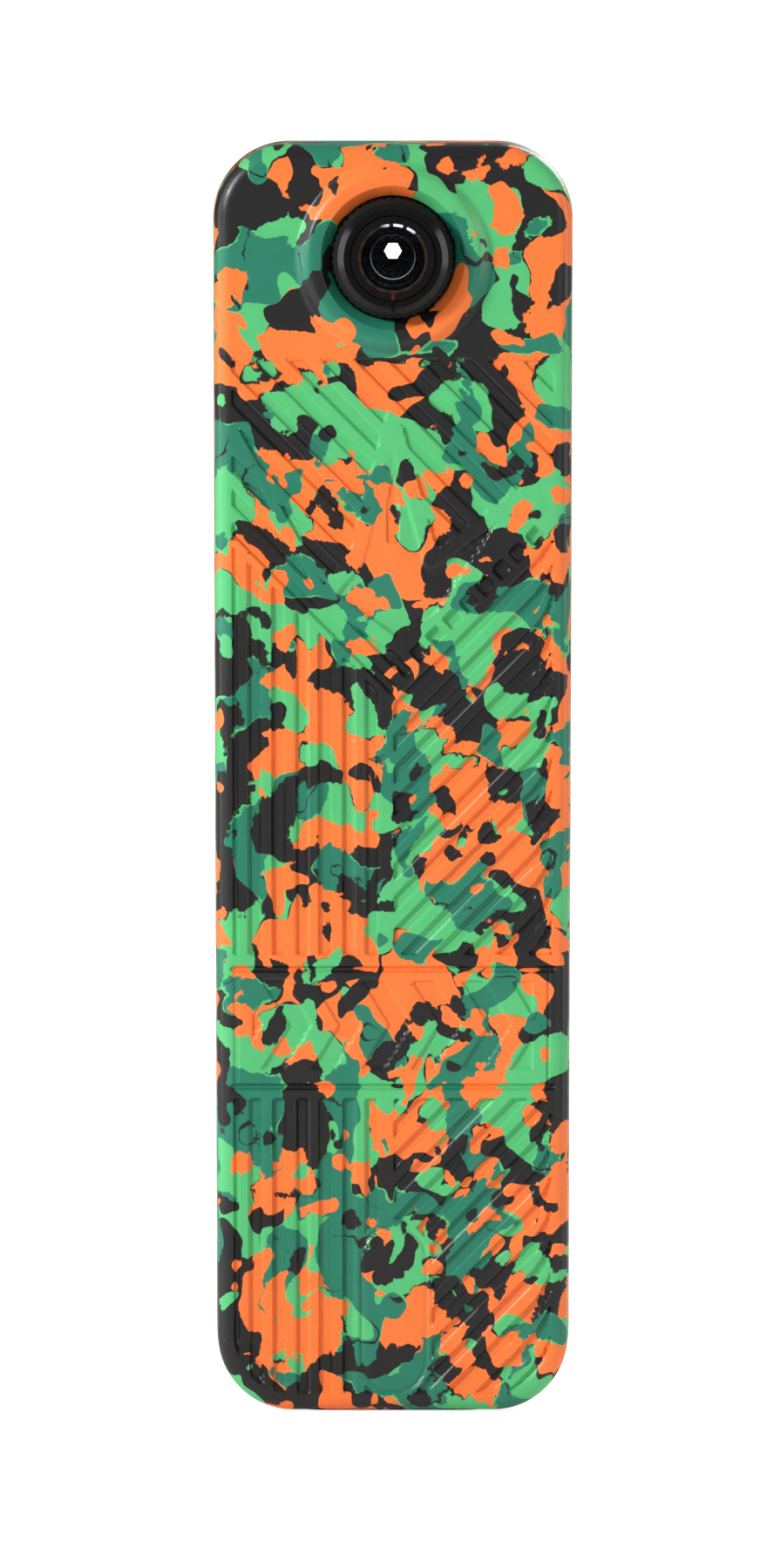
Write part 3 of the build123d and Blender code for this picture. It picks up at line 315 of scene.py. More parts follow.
def outline_loop(inset):
    """The body's outline moved in by an inset, before its taper: clockwise from the top left."""
    wide, tall = HALF_WIDTH - CORNER, TALL - 2 * CORNER
    across, down = round(2 * wide / STEP), round(tall / STEP)
    radius = CORNER - inset
    points = [(x, inset) for x in straight(-wide, wide, across)]

    def corner(cx, ct, start):
        for k in range(CORNER_STEPS):
            a = math.radians(start - 90 * k / CORNER_STEPS)
            points.append((cx + radius * math.cos(a), ct - radius * math.sin(a)))

    corner(wide, CORNER, 90)
    points.extend((HALF_WIDTH - inset, t) for t in straight(CORNER, CORNER + tall, down))
    corner(wide, CORNER + tall, 0)
    points.extend((x, TALL - inset) for x in straight(wide, -wide, across))
    corner(-wide, CORNER + tall, -90)
    points.extend((inset - HALF_WIDTH, t) for t in straight(CORNER + tall, CORNER, down))
    corner(-wide, CORNER, -180)
    return np.array(points)


def inner_grid():
    """The square grid inside the corners' centres, and the grid place that each loop point meets."""
    wide, tall = HALF_WIDTH - CORNER, TALL - 2 * CORNER
    across, down = round(2 * wide / STEP), round(tall / STEP)
    xs = np.linspace(-wide, wide, across + 1)
    ts = np.linspace(CORNER, CORNER + tall, down + 1)
    edge = [(k, 0) for k in range(across)] + [(across, 0)] * CORNER_STEPS
    edge += [(across, k) for k in range(down)] + [(across, down)] * CORNER_STEPS
    edge += [(across - k, down) for k in range(across)] + [(0, down)] * CORNER_STEPS
    edge += [(0, down - k) for k in range(down)] + [(0, 0)] * CORNER_STEPS
    return xs, ts, [j * (across + 1) + i for i, j in edge]


def taper(x, t):
    """Narrows the body towards its foot."""
    return x * (1 + (LOW_HALF_WIDTH / HALF_WIDTH - 1) * t / TALL)


def fold_pocket(points, depth):
    """The pocket in the underside that lets the base plate through."""
    points = points.copy()
    if depth < PLATE_HALF_Y:
        under = (np.abs(points[:, 0]) < PLATE_HALF_X) & (points[:, 1] > TALL - 1.5)
        points[under, 1] = TALL - SKIN + 0.02
    return points


def armour_shell(relief):
    """Vertices (x, t, depth from the seam) and triangles of an armour half with no openings."""
    seam = 0.15
    face_edge = DRAFT + EDGE
    loops = [(outline_loop(SKIN), FACE - SKIN), (outline_loop(SKIN), seam)]
    wall_depths = [seam, 3.0, 7.0, PLATE_HALF_Y - 0.05, PLATE_HALF_Y + 0.3]
    for depth in wall_depths:
        loops.append((fold_pocket(outline_loop(DRAFT * depth / FACE), depth), depth))
    for k in range(FILLET_STEPS):
        a = math.pi / 2 * k / FILLET_STEPS
        inset = DRAFT * (FACE - EDGE) / FACE + (face_edge - DRAFT * (FACE - EDGE) / FACE) * (1 - math.cos(a))
        loops.append((outline_loop(inset), FACE - EDGE + EDGE * math.sin(a)))
    face_loops = round((CORNER - face_edge) / STEP)
    for k in range(face_loops):
        loops.append((outline_loop(face_edge + (CORNER - face_edge) * k / face_loops), FACE))

    verts = [np.column_stack([p, np.full(len(p), d)]) for p, d in loops]
    xs, ts, edge = inner_grid()
    grid_x, grid_t = np.meshgrid(xs, ts)
    first_grid = sum(len(v) for v in verts)
    verts.append(np.column_stack([grid_x.ravel(), grid_t.ravel(), np.full(grid_x.size, FACE)]))
    verts = np.concatenate(verts)
    on_face = verts[:, 2] == FACE
    verts[on_face, 2] -= relief(verts[on_face, 0], verts[on_face, 1])

    count = len(edge)
    index = [np.arange(count) + count * k for k in range(len(loops))]
    index.append(np.array(edge) + first_grid)
    quads = []
    for near, far in zip(index, index[1:]):
        quads.append(np.column_stack([near, np.roll(near, -1), np.roll(far, -1), far]))
    wide = len(xs)
    corner = (np.arange(len(ts) - 1)[:, None] * wide + np.arange(wide - 1)[None, :]).ravel() + first_grid
    quads.append(np.column_stack([corner, corner + 1, corner + wide + 1, corner + wide]))
    return verts, split_quads(np.concatenate(quads), verts[:, 2]), index[0]


def split_quads(quads, height):
    """Cuts each cell along the diagonal that follows the relief."""
    a, b, c, d = quads.T
    along_ac = np.abs(height[a] - height[c]) <= np.abs(height[b] - height[d])
    first = np.where(along_ac[:, None], np.column_stack([a, b, c]), np.column_stack([a, b, d]))
    second = np.where(along_ac[:, None], np.column_stack([a, c, d]), np.column_stack([b, c, d]))
    triangles = np.concatenate([first, second])
    keep = (triangles[:, 0] != triangles[:, 1]) & (triangles[:, 1] != triangles[:, 2])
    return triangles[keep & (triangles[:, 0] != triangles[:, 2])]


def build_armour(name, towards, relief, openings):
    """One armour half. Each opening is (ring of places, distance, profile), where the profile lists
    how far each lip of the opening lies outside the ring and how far above the face."""
    verts, triangles, cavity = armour_shell(relief)
    z = TOP - verts[:, 1]
    doomed = np.zeros(len(verts), bool)
    for _, distance, profile in openings:
        doomed |= (verts[:, 2] > FACE - 1.0) & (distance(verts[:, 0], z) < profile[0][0] + CUT_BACK)
    places = np.column_stack([taper(verts[:, 0], verts[:, 1]), towards * verts[:, 2], z]) * MM

    bm = bmesh.new()
    made = [None if gone else bm.verts.new(p) for p, gone in zip(places, doomed)]
    for triangle in triangles:
        corners = [made[k] for k in triangle]
        if None not in corners:
            bm.faces.new(corners)
    for lone in [v for v in bm.verts if not v.link_faces]:
        bm.verts.remove(lone)
    floor_edges = [bm.edges.get([made[a], made[b]]) for a, b in zip(cavity, np.roll(cavity, -1))]
    torn = [e for e in bm.edges if len(e.link_faces) == 1 and e not in set(floor_edges)]

    for ring, distance, profile in openings:
        outward = (np.roll(ring, -1, 0) - np.roll(ring, 1, 0))[:, ::-1] * [1, -1]
        outward /= np.linalg.norm(outward, axis=1)[:, None]
        rows = []
        for grow, rise in profile + [(0.0, -SKIN)]:
            spots = (ring + outward * grow) * MM
            rows.append([bm.verts.new((px, towards * (FACE + rise) * MM, pz)) for px, pz in spots])
        for near, far in zip(rows, rows[1:]):
            for k in range(len(near)):
                j = (k + 1) % len(near)
                bm.faces.new([near[k], near[j], far[j], far[k]])
        rim, inner_rim = (
            [bm.edges.get([a, b]) for a, b in zip(row, row[1:] + row[:1])] for row in (rows[0], rows[-1])
        )
        near_hole = []
        for edge in torn:
            centre = (edge.verts[0].co + edge.verts[1].co) / 2 / MM
            if distance(centre.x, centre.z) < profile[0][0] + REACH:
                near_hole.append(edge)
        bmesh.ops.triangle_fill(bm, use_beauty=True, edges=rim + near_hole, normal=(0, towards, 0))
        floor_edges += inner_rim
    bmesh.ops.triangle_fill(bm, use_beauty=True, edges=floor_edges, normal=(0, -towards, 0))
    bmesh.ops.recalc_face_normals(bm, faces=bm.faces)
    for edge in bm.edges:
        edge.smooth = not edge.is_manifold or edge.calc_face_angle() < CREASE

    mesh = bpy.data.meshes.new(name)
    bm.to_mesh(mesh)
    bm.free()
    mesh.polygons.foreach_set("use_smooth", [True] * len(mesh.polygons))
    piece = bpy.data.objects.new(name, mesh)
    bpy.context.scene.collection.objects.link(piece)
    return piece


# ======== materials ========


class Nodes:
    """A short way to write a material's nodes."""

    def __init__(self, name):
        self.material = bpy.data.materials.new(name)
        self.material.use_nodes = True
        self.tree = self.material.node_tree
        self.shader = self.tree.nodes["Principled BSDF"]
        self.place = self.add("ShaderNodeTexCoord").outputs["Object"]

    def add(self, kind, **settings):
        node = self.tree.nodes.new(kind)
        for key, value in settings.items():
            setattr(node, key, value)
        return node

    def put(self, socket, value):
        if isinstance(value, bpy.types.NodeSocket):
            self.tree.links.new(value, socket)
        else:
            socket.default_value = value

    def math(self, operation, a, b=0.0, clamp=False):
        node = self.add("ShaderNodeMath", operation=operation, use_clamp=clamp)
        for socket, value in zip(node.inputs, (a, b)):
            self.put(socket, value)
        return node.outputs[0]

    def vector(self, operation, a, b):
        node = self.add("ShaderNodeVectorMath", operation=operation)
        for socket, value in zip(node.inputs, (a, b)):
            self.put(socket, value)
        return node.outputs["Vector"]

    def parts(self, vector):
        """A vector's X, Y and Z, by name."""
        node = self.add("ShaderNodeSeparateXYZ")
        self.put(node.inputs[0], vector)
        return node.outputs

    def noise(self, place, scale, detail=3.0, roughness=0.5, output="Fac"):
        """Noise whose scale is in features per millimetre."""
        node = self.add("ShaderNodeTexNoise")
        self.put(node.inputs["Vector"], place)
        node.inputs["Scale"].default_value = scale / MM
        node.inputs["Detail"].default_value = detail
        node.inputs["Roughness"].default_value = roughness
        return node.outputs[output]

    def mapped(self, place, scale=(1, 1, 1), offset=(0, 0, 0)):
        """A place stretched by a scale along each axis and moved by an offset in millimetres."""
        node = self.add("ShaderNodeMapping")
        self.put(node.inputs["Vector"], place)
        node.inputs["Scale"].default_value = scale
        node.inputs["Location"].default_value = [o * MM for o in offset]
        return node.outputs[0]

    def mix(self, factor, a, b):
        node = self.add("ShaderNodeMix", data_type="RGBA")
        self.put(node.inputs["Factor"], factor)
        self.put(node.inputs[6], a)
        self.put(node.inputs[7], b)
        return node.outputs[2]

    def spread(self, value, low, high, to_low=0.0, to_high=1.0):
        node = self.add("ShaderNodeMapRange")
        for socket, number in zip(node.inputs, (value, low, high, to_low, to_high)):
            self.put(socket, number)
        return node.outputs[0]

    def bump(self, height, strength, distance_mm):
        node = self.add("ShaderNodeBump")
        node.inputs["Strength"].default_value = strength
        node.inputs["Distance"].default_value = distance_mm * MM
        self.put(node.inputs["Height"], height)
        self.put(self.shader.inputs["Normal"], node.outputs[0])


def linear(red, green, blue):
    """A screen colour from 0 to 255 as the linear colour that shaders use."""
    def one(v):
        v /= 255
        return v / 12.92 if v <= 0.04045 else ((v + 0.055) / 1.055) ** 2.4
    return (one(red), one(green), one(blue), 1.0)


WHITE = (1, 1, 1, 1)
ORANGE = linear(253, 124, 56)
LIGHT_GREEN = linear(86, 191, 118)
TEAL = linear(37, 124, 98)
CHARCOAL = linear(30, 28, 28)
# How high each colour's field has to be for its flakes to show: a higher level leaves fewer of them.
ORANGE_LEVEL, GREEN_LEVEL, TEAL_LEVEL, DARK_LEVEL, LATE_LEVEL = 0.49, 0.525, 0.56, 0.615, 0.62
FLAKE_EDGE = 0.002  # how far round its level a colour's edge is blended
VEIN_WIDTH = 0.09  # how wide the thin lines along the flakes' edges are
SWIRL = 5.0  # how far the slow swirls push the flakes, in millimetres
TEAR_LEAST, TEAR_MOST = 0.25, 2.1  # how far their edges are torn, in millimetres


def marbled_rubber():
    """Flakes of four coloured rubbers pressed together, with torn edges here and smooth ones there."""
    n = Nodes("marbled_rubber")

    def pushed(place, cloud, amount):
        """A place moved by a cloud of noise, by as much as an amount along each axis."""
        centred = n.vector("SUBTRACT", cloud, (0.5, 0.5, 0.5))
        return n.vector("ADD", place, n.vector("MULTIPLY", centred, amount))

    swirl = n.noise(n.place, 0.11, 1.0, 0.5, "Color")
    torn = n.noise(n.place, 0.75, 5.0, 0.62, "Color")
    tearing = n.spread(n.noise(n.place, 0.16, 1.0), 0.42, 0.62, TEAR_LEAST * MM, TEAR_MOST * MM)
    tearing_vector = n.add("ShaderNodeCombineXYZ")
    for socket in tearing_vector.inputs:
        n.put(socket, tearing)
    flowing = pushed(pushed(n.place, swirl, [SWIRL * MM] * 3), torn, tearing_vector.outputs[0])

    height = n.parts(n.place)["Z"]
    ribbed = n.spread(height, (TOP - RIB_TOP + 6) * MM, (TOP - RIB_TOP - 14) * MM)

    def flakes(offset, coarse, fine):
        """A field whose high places are one colour's flakes: larger on the smooth upper part."""
        place = n.mapped(flowing, offset=offset)
        wide = n.math("MULTIPLY", n.noise(place, 1 / coarse, 1.5, 0.45), n.math("SUBTRACT", 1.0, ribbed))
        small = n.math("MULTIPLY", n.noise(place, 1 / fine, 1.5, 0.45), ribbed)
        return n.math("ADD", wide, small)

    def over(below, field, level, colour):
        """The colours so far, with another colour laid over them where its field is high."""
        return n.mix(n.spread(field, level - FLAKE_EDGE, level + FLAKE_EDGE), below, colour)

    def veins(field, level):
        """A field that is above nought along a colour's edge, in a line that swells and dies away."""
        swelling = n.noise(n.mapped(flowing, offset=(level * 100, 0, 0)), 0.14, 2.0)
        width = n.math("MULTIPLY", n.math("SUBTRACT", swelling, 0.5), VEIN_WIDTH)
        return n.math("SUBTRACT", width, n.math("ABSOLUTE", n.math("SUBTRACT", field, level)))

    orange = flakes((0, 0, 0), 11.0, 9.2)
    green = flakes((61, 23, 37), 10.0, 8.4)
    teal = flakes((17, 71, 93), 9.5, 7.8)
    dark = flakes((83, 41, 11), 7.0, 6.0)
    late = flakes((29, 97, 53), 6.5, 5.4)
    colour = over(CHARCOAL, orange, ORANGE_LEVEL, ORANGE)
    colour = over(colour, green, GREEN_LEVEL, LIGHT_GREEN)
    colour = over(colour, teal, TEAL_LEVEL, TEAL)
    colour = over(colour, veins(green, GREEN_LEVEL), 0.0, CHARCOAL)
    colour = over(colour, veins(teal, TEAL_LEVEL), 0.0, LIGHT_GREEN)
    colour = over(colour, dark, DARK_LEVEL, CHARCOAL)
    colour = over(colour, late, LATE_LEVEL, ORANGE)

    tone = n.noise(n.place, 0.35, 4.0, 0.6)
    shade = n.add("ShaderNodeHueSaturation")
    n.put(shade.inputs["Color"], colour)
    n.put(shade.inputs["Value"], n.spread(tone, 0.2, 0.8, 0.95, 1.05))
    n.put(n.shader.inputs["Base Color"], shade.outputs[0])
    n.put(n.shader.inputs["Roughness"], n.spread(n.noise(n.place, 1.4, 4.0, 0.6), 0.3, 0.7, 0.30, 0.42))
    n.shader.inputs["Specular IOR Level"].default_value = 0.42
    n.bump(n.noise(n.place, 3.2, 4.0, 0.65), 0.10, 0.05)
    return n.material


def plain(name, colour, roughness, metallic=0.0, grain=2.5, grain_depth=0.02, mottle=0.12, specular=0.5,
          brushed=(1, 1, 1)):
    """A moulded or machined surface: mottled tone, uneven gloss and a fine grain or brushing."""
    n = Nodes(name)
    tone = n.noise(n.place, 0.5, 4.0, 0.6)
    darker = tuple(c * (1 - mottle) for c in colour[:3]) + (1,)
    lighter = tuple(min(1, c * (1 + mottle)) for c in colour[:3]) + (1,)
    n.put(n.shader.inputs["Base Color"], n.mix(tone, darker, lighter))
    place = n.mapped(n.place, brushed)
    gloss = n.noise(place, grain * 0.4, 3.0, 0.6)
    n.put(n.shader.inputs["Roughness"], n.spread(gloss, 0.3, 0.7, roughness * 0.88, roughness * 1.12))
    n.shader.inputs["Metallic"].default_value = metallic
    n.shader.inputs["Specular IOR Level"].default_value = specular
    n.bump(n.noise(place, grain, 3.0, 0.6), 0.35, grain_depth)
    return n.material


def clear_glass(name, tint, gloss_tint, haze=0.0, body=0.0):
    """Thin optical glass with a coloured coating. It lets the view through without bending it."""
    n = Nodes(name)
    tree = n.tree
    through = n.add("ShaderNodeBsdfTransparent")
    through.inputs[0].default_value = tint
    mirror = n.add("ShaderNodeBsdfGlossy")
    mirror.inputs["Roughness"].default_value = 0.03
    coating = n.mix(n.noise(n.place, 0.12, 2.0), gloss_tint, tuple(c * 0.7 for c in gloss_tint[:3]) + (1,))
    n.put(mirror.inputs["Color"], coating)
    fresnel = n.add("ShaderNodeFresnel")
    fresnel.inputs[0].default_value = 1.35
    blend = n.add("ShaderNodeMixShader")
    n.put(blend.inputs[0], n.math("ADD", fresnel.outputs[0], haze, clamp=True))
    tree.links.new(through.outputs[0], blend.inputs[1])
    tree.links.new(mirror.outputs[0], blend.inputs[2])
    last = blend
    if body:
        n.shader.inputs["Base Color"].default_value = tint
        n.shader.inputs["Roughness"].default_value = 0.05
        solid = n.add("ShaderNodeMixShader")
        solid.inputs[0].default_value = body
        tree.links.new(blend.outputs[0], solid.inputs[1])
        tree.links.new(n.shader.outputs[0], solid.inputs[2])
        last = solid
    tree.links.new(last.outputs[0], tree.nodes["Material Output"].inputs["Surface"])
    return n.material


def glowing(name, strength):
    """A painted glow that stands in for the bright view the optics bring to the eye, slightly uneven."""
    n = Nodes(name)
    n.put(n.shader.inputs["Base Color"], n.mix(n.noise(n.place, 0.3), (0.9, 0.9, 0.9, 1), WHITE))
    n.shader.inputs["Emission Color"].default_value = WHITE
    n.shader.inputs["Emission Strength"].default_value = strength
    return n.material


def round_the_eye(n, node):
    """How far a point is from the eyepiece's axis, above it and to its right, in metres."""
    origin = nodes[node].matrix_world.translation
    parts = n.parts(n.place)
    across = n.math("ADD", parts["X"], origin.x)
    height = n.math("ADD", parts["Z"], origin.z - EYE_Z * MM)
    flat = n.math("ADD", n.math("MULTIPLY", across, across), n.math("MULTIPLY", height, height))
    return n.math("SQRT", flat), height, across


def grip_and_bevel():
    """The dioptre ring: matt on the fluted grip, and satin on the bevel round the eye lens."""
    n = Nodes("grip_and_bevel")
    radius, _, _ = round_the_eye(n, "dioptre_ring")
    on_grip = n.spread(radius, 7.62 * MM, 7.72 * MM)
    tone = n.noise(n.place, 0.8, 4.0, 0.6)
    n.put(n.shader.inputs["Base Color"], n.mix(tone, linear(4, 4, 4), linear(9, 9, 9)))
    n.put(n.shader.inputs["Roughness"], n.spread(on_grip, 0.0, 1.0, 0.24, 0.9))
    n.shader.inputs["Specular IOR Level"].default_value = 0.25
    n.bump(n.noise(n.place, 4.0, 3.0, 0.6), 0.3, 0.006)
    return n.material


def crown_painted_glint():
    """The retaining ring's teeth: dull dark red-brown, with a painted highlight that makes the tips of the
    teeth at the top bright.
    """
    n = Nodes("crown_painted_glint")
    _, height, across = round_the_eye(n, "crown_ring")
    leaning = n.math("ADD", height, n.math("MULTIPLY", across, 0.25))
    tips = span("crown_ring", 1)[0] - nodes["crown_ring"].matrix_world.translation.y / MM
    depth = n.parts(n.place)["Y"]
    on_tooth = n.spread(depth, (tips + 0.14) * MM, (tips + 0.06) * MM)
    # painted highlight: the tips of the teeth at the top are painted near-white, as if catching the light
    painted_glint = n.math("MULTIPLY", on_tooth, n.spread(leaning, 3.9 * MM, 4.5 * MM))
    dull = n.mix(n.noise(n.place, 0.7, 3.0), linear(14, 10, 10), linear(62, 26, 22))
    n.put(n.shader.inputs["Base Color"], n.mix(painted_glint, dull, linear(235, 236, 238)))
    n.put(n.shader.inputs["Roughness"], n.spread(n.noise(n.place, 2.0), 0.3, 0.7, 0.3, 0.42))
    n.shader.inputs["Specular IOR Level"].default_value = 0.4
    n.bump(n.noise(n.place, 4.0, 3.0, 0.6), 0.3, 0.006)
    return n.material


def baffle_painted_glow():
    """The baffle behind the field lens, with a painted reflection: a thin ring at its inner edge is painted
    light grey and made to glow, most strongly below the axis.
    """
    n = Nodes("baffle_painted_glow")
    radius, height, _ = round_the_eye(n, "field_lens_ring")
    # painted reflection: a thin ring at the inner edge, painted light grey
    edge = n.spread(radius, 3.16 * MM, 3.08 * MM)
    low = n.spread(height, 1.5 * MM, -2.9 * MM, 0.08, 1.0)
    n.put(n.shader.inputs["Base Color"], n.mix(edge, linear(4, 4, 4), linear(60, 60, 60)))
    n.shader.inputs["Roughness"].default_value = 0.5
    n.shader.inputs["Specular IOR Level"].default_value = 0.1
    n.shader.inputs["Emission Color"].default_value = WHITE
    # painted glow: the same ring emits light, strongest below the axis
    n.put(n.shader.inputs["Emission Strength"], n.math("MULTIPLY", n.math("MULTIPLY", edge, low), 0.5))
    return n.material


def circuit_board():
    """Solder mask with copper tracks under it and rows of pads."""
    n = Nodes("circuit_board")
    tracks = n.add("ShaderNodeTexBrick")
    n.put(tracks.inputs["Vector"], n.place)
    tracks.inputs["Scale"].default_value = 0.5 / MM
    tracks.inputs["Mortar Size"].default_value = 0.06
    tracks.inputs["Color1"].default_value = linear(16, 84, 48)
    tracks.inputs["Color2"].default_value = linear(20, 96, 56)
    tracks.inputs["Mortar"].default_value = linear(60, 140, 84)
    n.put(n.shader.inputs["Base Color"], tracks.outputs["Color"])
    n.shader.inputs["Roughness"].default_value = 0.35
    n.bump(tracks.outputs["Fac"], 0.3, 0.03)
    return n.material


rubber = marbled_rubber()
black_anodised = plain("black_anodised", linear(10, 10, 10), 0.34, grain=4.0, grain_depth=0.006,
                       mottle=0.1, specular=0.35)
matt_black = plain("matt_black", linear(7, 7, 7), 0.6, grain=5.0, grain_depth=0.008, specular=0.12)
deep_black = plain("deep_black", linear(3, 3, 3), 0.8, grain=6.0, grain_depth=0.01, mottle=0.1, specular=0.05)
casing_plastic = plain("casing_plastic", linear(38, 38, 40), 0.48, grain=3.0, grain_depth=0.03)
bezel_plastic = plain("bezel_plastic", linear(30, 30, 31), 0.42, grain=4.0, grain_depth=0.03)
tray_plastic = plain("tray_plastic", linear(48, 48, 50), 0.5, grain=3.0, grain_depth=0.03)
soft_seal = plain("soft_seal", linear(24, 24, 24), 0.62, grain=2.0, grain_depth=0.03)
button_rubber = plain("button_rubber", linear(34, 33, 33), 0.5, grain=2.5, grain_depth=0.03)
steel = plain("steel", (0.56, 0.56, 0.57, 1), 0.3, metallic=1.0, grain=2.0, grain_depth=0.01, mottle=0.08,
              brushed=(1, 1, 6))
bright_steel = plain("bright_steel", (0.75, 0.75, 0.76, 1), 0.2, metallic=1.0, grain=2.0, grain_depth=0.006,
                     mottle=0.05)
brass = plain("brass", (0.78, 0.56, 0.25, 1), 0.28, metallic=1.0, grain=2.0, grain_depth=0.01)
gold = plain("gold", (0.85, 0.64, 0.28, 1), 0.22, metallic=1.0, grain=2.0, grain_depth=0.006, mottle=0.08)
plate_metal = plain("plate_metal", linear(34, 34, 36), 0.36, metallic=0.4, grain=3.0, grain_depth=0.01,
                    mottle=0.1, brushed=(0.15, 1, 1))
index_red = plain("index_red", linear(84, 16, 12), 0.6, grain=4.0, grain_depth=0.01, mottle=0.2, specular=0.2)
chip_black = plain("chip_black", linear(28, 28, 30), 0.55, grain=5.0)
cell_jacket = plain("cell_jacket", linear(60, 66, 74), 0.3, metallic=0.3, grain=1.0, grain_depth=0.01,
                    mottle=0.08)
crown_red_and_painted_glint = crown_painted_glint()
grip_black = grip_and_bevel()
baffle_black_painted_glow = baffle_painted_glow()
board = circuit_board()
eye_glass = clear_glass("eye_glass", (0.84, 0.85, 0.85, 1), (0.30, 0.33, 0.38, 1))
# painted glow: an emitting material that stands in for the daylight seen through the optics
painted_daylight = glowing("painted_daylight", 3.5)
prism_glass = clear_glass("prism_glass", (0.985, 0.99, 0.99, 1), (0.10, 0.10, 0.11, 1))
front_glass = clear_glass("front_glass", (0.90, 0.93, 0.92, 1), (0.55, 0.35, 0.95, 1), haze=0.05)
laser_glass = clear_glass("laser_glass", linear(150, 30, 40), (0.9, 0.35, 0.35, 1), haze=0.06, body=0.35)

FINISH = {
    rubber: ["battery_door_skin"],
    grip_black: ["dioptre_ring"],
    baffle_black_painted_glow: ["field_lens_ring"],
    black_anodised: ["objective_ring", "emitter_ring"],
    matt_black: ["eyepiece_tube", "eyepiece_nut", "lens_cell", "objective_tube", "emitter_tube"],
    deep_black: ["hex_aperture", "aperture_ring", "prism_holder"],
    casing_plastic: ["rear_casing", "front_casing", "battery_door"],
    bezel_plastic: ["lens_bezel"],
    tray_plastic: ["battery_tray"],
    soft_seal: ["casing_gasket", "eyepiece_seal", "objective_seal", "emitter_seal"],
    button_rubber: ["measure_button", "mode_button"],
    steel: ["casing_screws", "base_plate_screws", "guide_pin", "prism_screws", "board_screws", "hinge_pin",
            "button_switches"],
    bright_steel: ["battery_contacts", "battery_springs"],
    brass: ["tripod_insert"],
    gold: ["receiver_diode", "laser_diode"],
    plate_metal: ["base_plate"],
    crown_red_and_painted_glint: ["crown_ring"],
    index_red: ["focus_mark"],
    chip_black: ["board_chips"],
    cell_jacket: ["battery_cells"],
    board: ["main_board", "driver_board", "receiver_board"],
    eye_glass: ["eye_lens", "field_lens"],
    prism_glass: ["reticle_glass", "half_penta_prism", "roof_prism"],
    front_glass: ["objective_lens"],
    laser_glass: ["emitter_lens", "receiver_filter"],
}
for material, names in FINISH.items():
    for name in names:
        nodes[name].data.materials.clear()
        nodes[name].data.materials.append(material)


# ======== the two armour halves ========

BOSS_FOOT, BOSS_EDGE, BOSS_TOP, BOSS_RIM, BOSS_HOLE = 13.75, 13.0, 11.6, 10.0, 8.65
BOSS_RISE = 1.7
boss_profile = [
    (BOSS_FOOT, 0.0), (BOSS_FOOT - 0.25, 0.04), (BOSS_FOOT - 0.5, 0.16), (BOSS_EDGE, 0.42),
    (BOSS_TOP + 0.75, BOSS_RISE - 0.45), (BOSS_TOP + 0.35, BOSS_RISE - 0.16), (BOSS_TOP, BOSS_RISE - 0.03),
    (BOSS_TOP - 0.3, BOSS_RISE), (BOSS_RIM + 0.2, BOSS_RISE), (BOSS_RIM - 0.05, BOSS_RISE - 0.08),
    (BOSS_RIM - 0.3, BOSS_RISE - 0.35), (BOSS_HOLE + 0.25, 0.75), (BOSS_HOLE, 0.4),
]
eye_ring, eye_distance = circle(0, EYE_Z, BOSS_HOLE, 128)
boss_profile = [(radius - BOSS_HOLE, rise) for radius, rise in boss_profile]


def place_armour(piece, node):
    piece.data.materials.append(rubber)
    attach(piece, "housing")
    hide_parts(node)


rear = build_armour("rear_armour_skin", -1, rear_relief, [(eye_ring, eye_distance, boss_profile)])
place_armour(rear, "rear_armour")

LIP = [(0.45, 0.0), (0.2, -0.1), (0.02, -0.35)]
BEZEL_GAP, DOOR_GAP, BUTTON_GAP = 0.15, 0.3, 0.25
DOOR_CORNER, BUTTON_CORNER = 1.5, 5.5
KNUCKLE = 1.85  # how far the hinge's opening reaches above its pin
RIB_CLEARANCE = 2.2  # plain rubber round each opening
RIB_INNER_END = 12.5
bezel_low, bezel_high = span("lens_bezel", 2)
bezel_radius = span("lens_bezel", 0)[1]
door_low = span("battery_door_skin", 2)[0]
door_half = span("battery_door_skin", 0)[1]
knuckle_high = span("hinge_pin", 2)[1] + KNUCKLE
measure_x = span("measure_button", 0)[1]
measure_low, measure_high = span("measure_button", 2)
mode_z, mode_radius = middle("mode_button", 2), span("mode_button", 0)[1]
front_openings = [
    slot_ring(0, bezel_low + bezel_radius, bezel_high - bezel_radius, bezel_radius + BEZEL_GAP),
    rounded_box(-door_half - DOOR_GAP, door_half + DOOR_GAP, door_low - DOOR_GAP, knuckle_high, DOOR_CORNER),
    rounded_box(-measure_x - BUTTON_GAP, measure_x + BUTTON_GAP, measure_low - BUTTON_GAP,
                measure_high + BUTTON_GAP, BUTTON_CORNER + BUTTON_GAP),
    circle(0, mode_z, mode_radius + BUTTON_GAP, 64),
]


def front_relief(x, t):
    """Rising ribs down both margins of the target side, clear of every opening."""
    z = TOP - t
    clear = np.full(np.shape(x), -FAR)
    for _, distance in front_openings:
        clear = np.maximum(clear, RIB_CLEARANCE - distance(x, z))
    common = np.maximum.reduce([RIB_TOP - t, body_distance(x, t) + FOOT_MARGIN, clear])
    inner = np.maximum(common, RIB_INNER_END - np.abs(x))
    return carve(np.maximum(rib_distance((np.abs(x) + t) / ROOT2, SLANT_PITCH), inner))


front = build_armour(
    "front_armour_skin", 1, front_relief, [(ring, distance, LIP) for ring, distance in front_openings]
)
place_armour(front, "front_armour")


# ======== the painted daylight behind the aperture ===


DISC_RADIUS, DISC_THICK, DISC_GAP = 4.4, 0.15, 0.05


